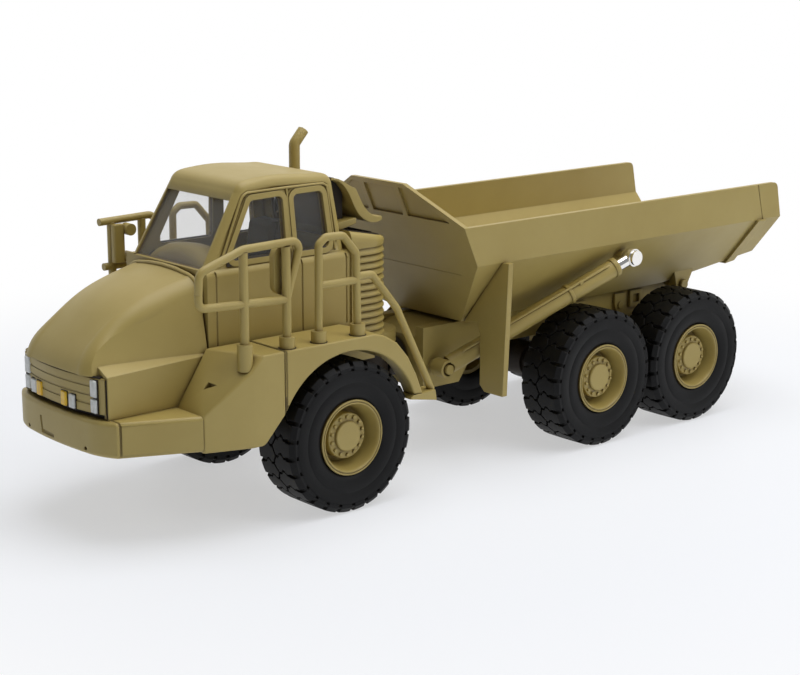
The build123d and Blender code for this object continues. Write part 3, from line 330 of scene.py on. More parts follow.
def add_bump(tree: bpy.types.NodeTree, shader: bpy.types.Node, height: bpy.types.NodeSocket,
             depth: float, strength: float, normal: Union[bpy.types.NodeSocket, None] = None) -> None:
    """Feed a height into a shader's normal.

    Args:
        tree: the material's tree.
        shader: the Principled node.
        height: the height's socket.
        depth: depth of the relief in metres.
        strength: share of the relief that shows.
        normal: a normal's socket that the relief starts from, or None.
    """
    bump = tree.nodes.new("ShaderNodeBump")
    if normal is not None:
        tree.links.new(normal, bump.inputs["Normal"])
    bump.inputs["Strength"].default_value = strength
    bump.inputs["Distance"].default_value = depth
    tree.links.new(height, bump.inputs["Height"])
    tree.links.new(bump.outputs["Normal"], shader.inputs["Normal"])


@dataclass(frozen=True)
class SkinFinish:
    """A sprayed or moulded skin: two tones, grain, a painted highlight on the outer edges, and painted
    shade in the crevices.
    """

    name: str
    light: tuple
    deep: tuple
    # colour of the painted highlight on the outer edges
    edge: tuple
    highlight_share: float
    rough: tuple
    grain_scale: float
    grain_depth: float
    grain_strength: float = 0.5
    tone_scale: float = 60.0
    specular: float = 0.5
    # colour laid in crevices and corners as painted shade, with its strength below
    crevice_shade: tuple = (0.02, 0.018, 0.015)
    crevice_shade_gain: float = 1.0
    edge_mm: float = 0.25

    def build(self) -> bpy.types.Material:
        """Build the material.

        Returns:
            The material.
        """
        material, tree, shader = start_material(self.name)
        tone = use_group(tree, GROUPS.tone, {
            "Light Tone": (*self.light, 1), "Deep Tone": (*self.deep, 1), "Scale": self.tone_scale,
            "Low Roughness": self.rough[0], "High Roughness": self.rough[1]})
        # painted highlight: the outer edges take a lighter colour
        edge = use_group(tree, GROUPS.edge, {
            "Radius": self.edge_mm * MM, "Gain": HIGHLIGHT_GAIN * self.highlight_share})
        colour = mix_colour(tree, edge.outputs["Mask"], tone.outputs["Color"], (*self.edge, 1))
        # painted shade: crevices and corners, found by ambient occlusion, take the crevice colour
        crevice_shade = use_group(tree, GROUPS.crevice, {"Distance": SHADE_REACH_MM * MM, "Gain": self.crevice_shade_gain})
        colour = mix_colour(tree, crevice_shade.outputs["Mask"], colour, (*self.crevice_shade, 1))
        tree.links.new(colour, shader.inputs["Base Color"])
        tree.links.new(tone.outputs["Roughness"], shader.inputs["Roughness"])
        grain = use_group(tree, GROUPS.grain, {"Grain Scale": self.grain_scale})
        add_bump(tree, shader, grain.outputs["Height"], self.grain_depth, self.grain_strength,
                 edge.outputs["Normal"])
        shader.inputs["Specular IOR Level"].default_value = self.specular
        return material


@dataclass(frozen=True)
class PlateFinish:
    """Bright plating with faint handling marks."""

    name: str
    colour: tuple
    rough: float
    mark_scale: float = 300.0
    mark_amount: float = 0.5

    def build(self) -> bpy.types.Material:
        """Build the material.

        Returns:
            The material.
        """
        material, tree, shader = start_material(self.name)
        marks = use_group(tree, GROUPS.fingers, {"Scale": self.mark_scale, "Amount": self.mark_amount})
        rough = math_node(tree, "ADD", marks.outputs["Mask"], self.rough)
        tree.links.new(rough, shader.inputs["Roughness"])
        shader.inputs["Base Color"].default_value = (*self.colour, 1)
        shader.inputs["Metallic"].default_value = 1.0
        return material


@dataclass(frozen=True)
class ClearFinish:
    """Clear moulded plastic: thin glazing with a faint haze."""

    name: str
    colour: tuple
    haze: float
    rough: float = 0.04
    ior: float = 1.45
    rim_share: float = 0.3
    mark_scale: float = 90.0
    mark_amount: float = 0.05

    def build(self) -> bpy.types.Material:
        """Build the material: a glossy sheet over a mostly clear body.

        Returns:
            The material.
        """
        material, tree, shader = start_material(self.name)
        shader.inputs["Base Color"].default_value = (*self.colour, 1)
        shader.inputs["Roughness"].default_value = self.rough
        shader.inputs["IOR"].default_value = self.ior
        marks = use_group(tree, GROUPS.fingers, {"Scale": self.mark_scale, "Amount": self.mark_amount})
        haze = math_node(tree, "ADD", marks.outputs["Mask"], self.haze)
        sheen = tree.nodes.new("ShaderNodeLayerWeight")
        sheen.inputs["Blend"].default_value = 0.25
        rim = math_node(tree, "MULTIPLY", sheen.outputs["Facing"], self.rim_share)
        tree.links.new(math_node(tree, "ADD", haze, rim, True), shader.inputs["Alpha"])
        material.surface_render_method = "BLENDED"
        return material


@dataclass(frozen=True)
class LensFinish:
    """A lamp lens over a bright back, with fine ribs along one axis."""

    name: str
    light: tuple
    deep: tuple
    rib_scale: float = 1600.0
    rib_depth: float = 0.05 * MM
    rib_strength: float = 0.6
    tone_scale: float = 700.0
    rough: tuple = (0.06, 0.14)
    specular: float = 0.25
    coat: float = 0.15
    coat_rough: float = 0.03

    def build(self) -> bpy.types.Material:
        """Build the material.

        Returns:
            The material.
        """
        material, tree, shader = start_material(self.name)
        place = tree.nodes.new("ShaderNodeTexCoord")
        ribs = tree.nodes.new("ShaderNodeTexWave")
        ribs.bands_direction = "Y"
        ribs.inputs["Scale"].default_value = self.rib_scale
        tree.links.new(place.outputs["Object"], ribs.inputs["Vector"])
        tone = use_group(tree, GROUPS.tone, {
            "Light Tone": (*self.light, 1), "Deep Tone": (*self.deep, 1), "Scale": self.tone_scale,
            "Low Roughness": self.rough[0], "High Roughness": self.rough[1]})
        tree.links.new(tone.outputs["Color"], shader.inputs["Base Color"])
        tree.links.new(tone.outputs["Roughness"], shader.inputs["Roughness"])
        add_bump(tree, shader, ribs.outputs["Fac"], self.rib_depth, self.rib_strength)
        shader.inputs["Specular IOR Level"].default_value = self.specular
        shader.inputs["Coat Weight"].default_value = self.coat
        shader.inputs["Coat Roughness"].default_value = self.coat_rough
        return material


# each skin's edge colour is a painted highlight, and its crevice colour is painted shade
FINISHES = {
    Slot.PAINT: SkinFinish(
        "sand_paint", light=(0.410, 0.312, 0.090), deep=(0.375, 0.280, 0.076), edge=(0.48, 0.39, 0.15),
        highlight_share=0.35, rough=(0.42, 0.52), grain_scale=5200.0, grain_depth=0.010 * MM,
        crevice_shade=(0.120, 0.072, 0.016), crevice_shade_gain=1.6),
    Slot.RUBBER: SkinFinish(
        "tyre_rubber", light=(0.0036, 0.0036, 0.0038), deep=(0.0024, 0.0024, 0.0026),
        edge=(0.012, 0.012, 0.012), highlight_share=0.6, rough=(0.45, 0.60), grain_scale=2600.0,
        grain_depth=0.03 * MM, specular=0.20),
    Slot.DARK: SkinFinish(
        "dark_plastic", light=(0.052, 0.039, 0.028), deep=(0.034, 0.026, 0.018),
        edge=(0.085, 0.065, 0.045), highlight_share=0.4, rough=(0.45, 0.6), grain_scale=3000.0,
        grain_depth=0.02 * MM, specular=0.35),
    Slot.BLACK: SkinFinish(
        "dark_metal", light=(0.026, 0.018, 0.011), deep=(0.016, 0.011, 0.007),
        edge=(0.06, 0.045, 0.028), highlight_share=0.5, rough=(0.50, 0.65), grain_scale=3000.0,
        grain_depth=0.02 * MM, specular=0.25),
    Slot.BRIGHT: PlateFinish("bright_plate", colour=(0.86, 0.85, 0.83), rough=0.08),
    Slot.CLEAR: ClearFinish("clear_plastic", colour=(0.42, 0.42, 0.40), haze=0.05),
    Slot.LENS: LensFinish("lamp_lens", light=(0.88, 0.89, 0.85), deep=(0.66, 0.67, 0.62)),
    Slot.AMBER: LensFinish("amber_lens", light=(0.95, 0.60, 0.03), deep=(0.85, 0.48, 0.015)),
}
MATERIALS = {slot: finish.build() for slot, finish in FINISHES.items()}


# ---------------------------------------------------------------- mesh helpers
def body_of(node: str) -> str:
    """Name of the body that carries a CAD node."""
    groups = frame["record"]["behaviour"]["bodies"]
    return next(body for body, members in groups.items() if node in members)


def slot_of(node: str) -> Slot:
    """Material slot of a CAD node in the record."""
    row = next(s for s in frame["record"]["subparts"] if s["node"] == node)
    return Slot(row["material_slot"])


def finish_piece(piece: bpy.types.Object, body: str, slot: Slot, *replaced: str) -> bpy.types.Object:
    """Dress a finished piece and hand it to its body.

    Args:
        piece: the object, with its place in its mesh.
        body: the CAD body that it rides on.
        slot: its material slot.
        replaced: CAD nodes that it stands for.

    Returns:
        The piece.
    """
    piece.data.materials.clear()
    piece.data.materials.append(MATERIALS[slot])
    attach(piece, body)
    if replaced:
        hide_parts(*replaced)
    return piece


def add_object(name: str, mesh: bpy.types.Mesh) -> bpy.types.Object:
    """Link a new object with a mesh.

    Args:
        name: the object's name.
        mesh: its mesh.

    Returns:
        The new object.
    """
    piece = bpy.data.objects.new(name, mesh)
    bpy.context.scene.collection.objects.link(piece)
    return piece


def from_bmesh(name: str, bm: bmesh.types.BMesh, smooth_angle: float = 32.0) -> bpy.types.Object:
    """Turn a bmesh in millimetres into a linked object in metres.

    Args:
        name: the object's name.
        bm: the bmesh, freed afterwards.
        smooth_angle: edges flatter than this are shaded smooth, in degrees.

    Returns:
        The new object.
    """
    bmesh.ops.remove_doubles(bm, verts=bm.verts, dist=1e-4)
    bmesh.ops.recalc_face_normals(bm, faces=bm.faces)
    bmesh.ops.scale(bm, vec=(MM, MM, MM), verts=bm.verts)
    mesh = bpy.data.meshes.new(name)
    bm.to_mesh(mesh)
    bm.free()
    mesh.shade_smooth()
    mesh.set_sharp_from_angle(angle=math.radians(smooth_angle))
    return add_object(name, mesh)


def bake_modifiers(piece: bpy.types.Object) -> bpy.types.Object:
    """Apply a piece's modifiers by way of its evaluated mesh.

    Args:
        piece: the object with live modifiers.

    Returns:
        The same object with a plain mesh.
    """
    graph = bpy.context.evaluated_depsgraph_get()
    mesh = bpy.data.meshes.new_from_object(piece.evaluated_get(graph))
    piece.modifiers.clear()
    piece.data = mesh
    return piece


def prism(bm: bmesh.types.BMesh, outline: list, axis: str, low: float, high: float) -> None:
    """Add a straight prism.

    Args:
        bm: the bmesh to add to.
        outline: points across the axis: (y, z) for X, (x, z) for Y, (x, y) for Z.
        axis: the axis that the prism runs along.
        low: its start on the axis.
        high: its end on the axis.
    """
    ends = []
    for level in (low, high):
        place = {"X": lambda a, b: (level, a, b), "Y": lambda a, b: (a, level, b),
                 "Z": lambda a, b: (a, b, level)}
        ends.append([bm.verts.new(place[axis](a, b)) for a, b in outline])
    bm.faces.new(ends[0])
    bm.faces.new(reversed(ends[1]))
    for i in range(len(outline)):
        j = (i + 1) % len(outline)
        bm.faces.new((ends[0][i], ends[0][j], ends[1][j], ends[1][i]))


def slab(bm: bmesh.types.BMesh, x: tuple, y: tuple, z: tuple) -> None:
    """Add a box from three (low, high) ranges."""
    prism(bm, [(x[0], z[0]), (x[1], z[0]), (x[1], z[1]), (x[0], z[1])], "Y", *y)


def sweep(bm: bmesh.types.BMesh, points: list, radius: float, steps: int = 12) -> None:
    """Add a round tube with closed ends along a line of points.

    Args:
        bm: the bmesh to add to.
        points: the line's points.
        radius: the tube's radius.
        steps: faces round the tube.
    """
    line = [Vector(p) for p in points]
    rings, side = [], None
    for i, point in enumerate(line):
        before = (point - line[i - 1]).normalized() if i else (line[1] - point).normalized()
        after = (line[i + 1] - point).normalized() if i + 1 < len(line) else before
        way = (before + after).normalized()
        spread = 1 / max(0.5, way.dot(before))
        side = way.orthogonal() if side is None else side - way * side.dot(way)
        side.normalize()
        up = way.cross(side)
        bend = (after - before).normalized() if (after - before).length > 1e-6 else side
        ring = []
        for step in range(steps):
            turn = 2 * math.pi * step / steps
            arm = (side * math.cos(turn) + up * math.sin(turn)) * radius
            arm += bend * arm.dot(bend) * (spread - 1)
            ring.append(bm.verts.new(point + arm))
        rings.append(ring)
    for ring, following in zip(rings, rings[1:]):
        for i in range(steps):
            j = (i + 1) % steps
            bm.faces.new((ring[i], ring[j], following[j], following[i]))
    bm.faces.new(reversed(rings[0]))
    bm.faces.new(rings[-1])


def disc(bm: bmesh.types.BMesh, centre: tuple, axis: str, radius: float, depth: float, steps: int = 32,
         top: float = 1.0) -> None:
    """Add a short round bar that starts at a centre and runs along an axis.

    Args:
        bm: the bmesh to add to.
        centre: middle of its first end.
        axis: the axis that it runs along.
        radius: its radius.
        depth: its length, signed.
        steps: faces round it.
        top: radius of its far end, as a share of the first.
    """
    way = {"X": (1, 2, 0), "Y": (2, 0, 1), "Z": (0, 1, 2)}[axis]
    ends = []
    for level, share in ((0.0, 1.0), (depth, top)):
        ring = []
        for step in range(steps):
            turn = 2 * math.pi * step / steps
            place = list(centre)
            place[way[0]] += radius * share * math.cos(turn)
            place[way[1]] += radius * share * math.sin(turn)
            place[way[2]] += level
            ring.append(bm.verts.new(place))
        ends.append(ring)
    bm.faces.new(reversed(ends[0]))
    bm.faces.new(ends[1])
    for i in range(steps):
        j = (i + 1) % steps
        bm.faces.new((ends[0][i], ends[0][j], ends[1][j], ends[1][i]))


def join_into(piece: bpy.types.Object, others: list) -> None:
    """Join other objects into a piece.

    Args:
        piece: the object that stays.
        others: the objects that become part of it.
    """
    with bpy.context.temp_override(active_object=piece, selected_editable_objects=[piece, *others]):
        bpy.ops.object.join()


def carve(piece: bpy.types.Object, bm: bmesh.types.BMesh) -> None:
    """Cut a bmesh in millimetres out of a piece.

    Args:
        piece: the object to cut.
        bm: closed solids to take away, freed afterwards.
    """
    tool = from_bmesh("carving_tool", bm)
    cut = piece.modifiers.new("carve", "BOOLEAN")
    cut.operation, cut.solver, cut.object = "DIFFERENCE", "EXACT", tool
    bake_modifiers(piece)
    bpy.data.objects.remove(tool)


def tidy_copy(name: str, mesh: bpy.types.Mesh) -> bpy.types.Object:
    """Copy a mesh into a new object, with flat areas as single faces.

    Args:
        name: the new object's name.
        mesh: the mesh to copy, of loose triangles.

    Returns:
        The new object.
    """
    bm = bmesh.new()
    bm.from_mesh(mesh)
    bmesh.ops.remove_doubles(bm, verts=bm.verts, dist=MERGE_MM * MM)
    flat = math.radians(FLAT_DEGREES)
    bmesh.ops.dissolve_limit(bm, angle_limit=flat, verts=bm.verts, edges=bm.edges)
    copy = bpy.data.meshes.new(name)
    bm.to_mesh(copy)
    bm.free()
    return add_object(name, copy)


def softened(node: str, width: float, segments: int = 3, cuts: Union[bmesh.types.BMesh, None] = None,
             clamp: bool = True, joined: tuple = ()) -> bpy.types.Object:
    """Replace a CAD node by a copy whose edges are as soft as thick paint leaves them.

    Args:
        node: the CAD node.
        width: width of the rounding in millimetres.
        segments: faces across the rounding.
        cuts: closed solids in millimetres that are carved out afterwards, or None.
        clamp: whether narrow faces hold every rounding back.
        joined: CAD nodes that the same skin runs over without a joint.

    Returns:
        The finished piece.
    """
    whole = add_object(f"whole_{node}", frame["nodes"][node].data.copy())
    for other in joined:
        extra = add_object(f"whole_{other}", frame["nodes"][other].data.copy())
        union = whole.modifiers.new("join", "BOOLEAN")
        union.operation, union.solver, union.object = "UNION", "EXACT", extra
        bake_modifiers(whole)
        bpy.data.objects.remove(extra)
    piece = tidy_copy(f"soft_{node}", whole.data)
    bpy.data.objects.remove(whole)
    bevel = piece.modifiers.new("round", "BEVEL")
    bevel.width, bevel.segments = width * MM, segments
    bevel.limit_method, bevel.angle_limit = "ANGLE", math.radians(BEVEL_DEGREES)
    bevel.use_clamp_overlap = clamp
    bake_modifiers(piece)
    if cuts is not None:
        carve(piece, cuts)
    piece.data.shade_smooth()
    piece.data.set_sharp_from_angle(angle=math.radians(SHARP_DEGREES))
    even = piece.modifiers.new("even", "WEIGHTED_NORMAL")
    even.keep_sharp = True
    bake_modifiers(piece)
    return finish_piece(piece, body_of(node), slot_of(node), node, *joined)


def lathe_y(bm: bmesh.types.BMesh, profile: list, centre: tuple, steps: int = 96) -> None:
    """Turn a closed profile about a line along Y.

    Args:
        bm: the bmesh to add to.
        profile: radius and Y of each point, in order.
        centre: X, Y and Z of the profile's zero.
        steps: faces round the turn.
    """
    rings = []
    for step in range(steps):
        turn = 2 * math.pi * step / steps
        across, up = math.sin(turn), math.cos(turn)
        rings.append([bm.verts.new((centre[0] + r * across, centre[1] + y, centre[2] + r * up))
                      for r, y in profile])
    for ring, after in zip(rings, rings[1:] + rings[:1]):
        for i in range(len(profile)):
            j = (i + 1) % len(profile)
            bm.faces.new((ring[i], ring[j], after[j], after[i]))


def socket_named(tree: bpy.types.NodeTree, name: str) -> str:
    """Identifier of a node tree's input socket."""
    return next(s.identifier for s in tree.interface.items_tree
                if s.item_type == "SOCKET" and s.in_out == "INPUT" and s.name == name)


class Arrays:
    """Geometry node trees that repeat a stamp round a circle or along a line."""

    def __init__(self) -> None:
        """Build both trees."""
        self.ring = self.build_ring()
        self.row = self.build_row()

    @staticmethod
    def start_tree(name: str, inputs: list) -> tuple:
        """Start a geometry tree that takes a stamp and a material besides its sizes.

        Args:
            name: the tree's name.
            inputs: rows of socket name, socket kind and value.

        Returns:
            The tree, its input node and its output node.
        """
        tree = bpy.data.node_groups.new(name, "GeometryNodeTree")
        tree.interface.new_socket(name="Geometry", in_out="INPUT", socket_type="NodeSocketGeometry")
        tree.interface.new_socket(name="Stamp", in_out="INPUT", socket_type="NodeSocketObject")
        tree.interface.new_socket(name="Finish", in_out="INPUT", socket_type="NodeSocketMaterial")
        for label, kind, value in inputs:
            tree.interface.new_socket(name=label, in_out="INPUT", socket_type=kind).default_value = value
        tree.interface.new_socket(name="Geometry", in_out="OUTPUT", socket_type="NodeSocketGeometry")
        return tree, tree.nodes.new("NodeGroupInput"), tree.nodes.new("NodeGroupOutput")

    @staticmethod
    def end_tree(tree: bpy.types.NodeTree, given: bpy.types.Node, result: bpy.types.Node,
                 points: bpy.types.NodeSocket, turn: Union[bpy.types.NodeSocket, None] = None) -> None:
        """Stamp the points, realize the stamps and set their material.

        Args:
            tree: the tree.
            given: its input node.
            result: its output node.
            points: the points' socket.
            turn: a rotation socket for the stamps, or None.
        """
        nodes, links = tree.nodes, tree.links
        info = nodes.new("GeometryNodeObjectInfo")
        stamp = nodes.new("GeometryNodeInstanceOnPoints")
        real = nodes.new("GeometryNodeRealizeInstances")
        dress = nodes.new("GeometryNodeSetMaterial")
        links.new(given.outputs["Stamp"], info.inputs["Object"])
        links.new(info.outputs["Geometry"], stamp.inputs["Instance"])
        links.new(points, stamp.inputs["Points"])
        if turn is not None:
            links.new(turn, stamp.inputs["Rotation"])
        links.new(stamp.outputs["Instances"], real.inputs["Geometry"])
        links.new(real.outputs["Geometry"], dress.inputs["Geometry"])
        links.new(given.outputs["Finish"], dress.inputs["Material"])
        links.new(dress.outputs["Geometry"], result.inputs["Geometry"])

    @classmethod
    def build_ring(cls) -> bpy.types.NodeTree:
        """Build a ring of stamps about the Y axis; a stamp is made where it stands at the top.

        Returns:
            The tree.
        """
        tree, given, result = cls.start_tree("stamp_ring", [
            ("Count", "NodeSocketInt", 12), ("Start", "NodeSocketFloat", 0.0),
            ("Centre", "NodeSocketVector", (0.0, 0.0, 0.0))])
        nodes, links = tree.nodes, tree.links
        line = nodes.new("GeometryNodeMeshLine")
        line.inputs["Offset"].default_value = (0, 0, 0)
        links.new(given.outputs["Count"], line.inputs["Count"])
        links.new(given.outputs["Centre"], line.inputs["Start Location"])
        index = nodes.new("GeometryNodeInputIndex")
        share = math_node(tree, "DIVIDE", index.outputs[0], given.outputs["Count"])
        angle = math_node(tree, "MULTIPLY", share, 2 * math.pi)
        angle = math_node(tree, "ADD", angle, given.outputs["Start"])
        turn = nodes.new("ShaderNodeCombineXYZ")
        links.new(angle, turn.inputs["Y"])
        cls.end_tree(tree, given, result, line.outputs["Mesh"], turn.outputs["Vector"])
        return tree

    @classmethod
    def build_row(cls) -> bpy.types.NodeTree:
        """Build a straight row of stamps, each shifted by the same step.

        Returns:
            The tree.
        """
        tree, given, result = cls.start_tree("stamp_row", [
            ("Count", "NodeSocketInt", 5), ("Step", "NodeSocketVector", (0.0, 0.0, 0.001))])
        line = tree.nodes.new("GeometryNodeMeshLine")
        tree.links.new(given.outputs["Count"], line.inputs["Count"])
        tree.links.new(given.outputs["Step"], line.inputs["Offset"])
        cls.end_tree(tree, given, result, line.outputs["Mesh"])
        return tree

    @staticmethod
    def run(tree: bpy.types.NodeTree, name: str, stamp: bpy.types.Object, slot: Slot,
            values: dict) -> bpy.types.Object:
        """Run a tree on a stamp and keep the plain mesh.

        Args:
            tree: the ring or the row.
            name: name of the new piece.
            stamp: the object to repeat, removed afterwards.
            slot: material slot of the piece.
            values: values of the tree's inputs by name.

        Returns:
            The new object.
        """
        piece = add_object(name, bpy.data.meshes.new(name))
        modifier = piece.modifiers.new("array", "NODES")
        modifier.node_group = tree
        modifier[socket_named(tree, "Stamp")] = stamp
        modifier[socket_named(tree, "Finish")] = MATERIALS[slot]
        for label, value in values.items():
            modifier[socket_named(tree, label)] = value
        bake_modifiers(piece)
        bpy.data.objects.remove(stamp)
        return piece


ARRAYS = Arrays()


# ---------------------------------------------------------------- studio
@dataclass
class Studio:
    """The pale floor, the soft lamps and the camera."""

    place: tuple = (271.5, 309.5, 122.4)
    azimuth: float = 139.54
    elevation: float = 13.23
    lens: float = 81.32
    sensor: float = 36.0
    clip_start: float = 0.01
    floor_r: float = 4000.0
    floor_z: float = -0.02
    floor_colour: tuple = (0.86, 0.89, 0.96, 1)
    floor_rough: float = 0.55
    floor_specular: float = 0.25
    fade: tuple = (90.0, 230.0)
    fade_from: float = 0.52
    world_colour: tuple = (0.175, 0.18, 0.19, 1)
    white: tuple = (1, 1, 1, 1)
    backdrop: tuple = (-0.64, -0.73, 0.24)
    backdrop_span: tuple = (-0.1, 0.6)
    backdrop_from: float = 0.10
    # name, place, what it points at, width of its side, watts
    lamps: tuple = (("overhead", (-80, 60, 620), (0, 0, 20), 600, 3.5),
                    ("side", (-380, 600, 420), (-10, 0, 30), 420, 1.25))

    def build(self) -> None:
        """Build the floor, the world, the lamps and the camera."""
        bpy.context.scene.view_settings.view_transform = "Standard"
        self.build_camera()
        self.build_floor()
        self.build_world()
        for lamp in self.lamps:
            self.add_lamp(*lamp)

    def build_camera(self) -> None:
        """Set the camera."""
        data = bpy.data.cameras.new("camera")
        data.lens, data.sensor_width = self.lens, self.sensor
        data.clip_start = self.clip_start
        camera = bpy.data.objects.new("camera", data)
        turn, rise = math.radians(self.azimuth), math.radians(self.elevation)
        level = math.cos(rise)
        ahead = Vector((-math.sin(turn) * level, math.cos(turn) * level, -math.sin(rise)))
        camera.rotation_euler = ahead.to_track_quat("-Z", "Y").to_euler()
        camera.location = Vector(self.place) * MM
        bpy.context.scene.collection.objects.link(camera)
        bpy.context.scene.camera = camera

    def build_floor(self) -> None:
        """Lay a pale disc that fades to the background's white away from the model."""
        bm = bmesh.new()
        bmesh.ops.create_circle(bm, cap_ends=True, segments=96, radius=self.floor_r)
        bmesh.ops.translate(bm, verts=bm.verts, vec=(0, 0, self.floor_z))
        floor = from_bmesh("floor", bm)
        material, tree, shader = start_material("pale_floor")
        shader.inputs["Base Color"].default_value = self.floor_colour
        shader.inputs["Roughness"].default_value = self.floor_rough
        shader.inputs["Specular IOR Level"].default_value = self.floor_specular
        place = tree.nodes.new("ShaderNodeTexCoord")
        reach = tree.nodes.new("ShaderNodeVectorMath")
        reach.operation = "LENGTH"
        tree.links.new(place.outputs["Object"], reach.inputs[0])
        ramp = tree.nodes.new("ShaderNodeMapRange")
        ramp.interpolation_type = "SMOOTHSTEP"
        ramp.inputs["From Min"].default_value = self.fade[0] * MM
        ramp.inputs["From Max"].default_value = self.fade[1] * MM
        ramp.inputs["To Min"].default_value = self.fade_from
        tree.links.new(reach.outputs["Value"], ramp.inputs["Value"])
        path = tree.nodes.new("ShaderNodeLightPath")
        seen = math_node(tree, "MAXIMUM", path.outputs["Is Camera Ray"], path.outputs["Is Glossy Ray"])
        seen = math_node(tree, "MAXIMUM", seen, path.outputs["Is Transmission Ray"])
        share = math_node(tree, "MULTIPLY", seen, ramp.outputs["Result"])
        glow = tree.nodes.new("ShaderNodeEmission")
        mix = tree.nodes.new("ShaderNodeMixShader")
        tree.links.new(share, mix.inputs[0])
        tree.links.new(shader.outputs[0], mix.inputs[1])
        tree.links.new(glow.outputs[0], mix.inputs[2])
        out = next(n for n in tree.nodes if n.type == "OUTPUT_MATERIAL")
        tree.links.new(mix.outputs[0], out.inputs["Surface"])
        floor.data.materials.append(material)

    def build_world(self) -> None:
        """Give the world a grey light, seen as white, with a bright side in mirrored looks."""
        world = bpy.data.worlds.new("studio")
        bpy.context.scene.world = world
        world.use_nodes = True
        tree = world.node_tree
        back = next(n for n in tree.nodes if n.type == "BACKGROUND")
        path = tree.nodes.new("ShaderNodeLightPath")
        toward = tree.nodes.new("ShaderNodeTexCoord")
        dot = tree.nodes.new("ShaderNodeVectorMath")
        dot.operation = "DOT_PRODUCT"
        tree.links.new(toward.outputs["Generated"], dot.inputs[0])
        dot.inputs[1].default_value = self.backdrop
        ramp = tree.nodes.new("ShaderNodeMapRange")
        ramp.inputs["From Min"].default_value = self.backdrop_span[0]
        ramp.inputs["From Max"].default_value = self.backdrop_span[1]
        ramp.inputs["To Min"].default_value = self.backdrop_from
        tree.links.new(dot.outputs["Value"], ramp.inputs["Value"])
        mirrored = math_node(tree, "MULTIPLY", path.outputs["Is Glossy Ray"], ramp.outputs["Result"])
        seen = math_node(tree, "MAXIMUM", path.outputs["Is Camera Ray"], mirrored)
        seen = math_node(tree, "MAXIMUM", seen, path.outputs["Is Transmission Ray"])
        colour = mix_colour(tree, seen, self.world_colour, self.white)
        tree.links.new(colour, back.inputs["Color"])

    @staticmethod
    def add_lamp(name: str, place: tuple, target: tuple, width: float, watts: float) -> None:
        """Add a square soft lamp.

        Args:
            name: its name.
            place: where it hangs, in millimetres.
            target: what it points at, in millimetres.
            width: its side, in millimetres.
            watts: its power.
        """
        data = bpy.data.lights.new(name, "AREA")
        data.size, data.energy = width * MM, watts
        lamp = bpy.data.objects.new(name, data)
        lamp.location = Vector(place) * MM
        lamp.rotation_euler = (Vector(target) - Vector(place)).to_track_quat("-Z", "Y").to_euler()
        bpy.context.scene.collection.objects.link(lamp)


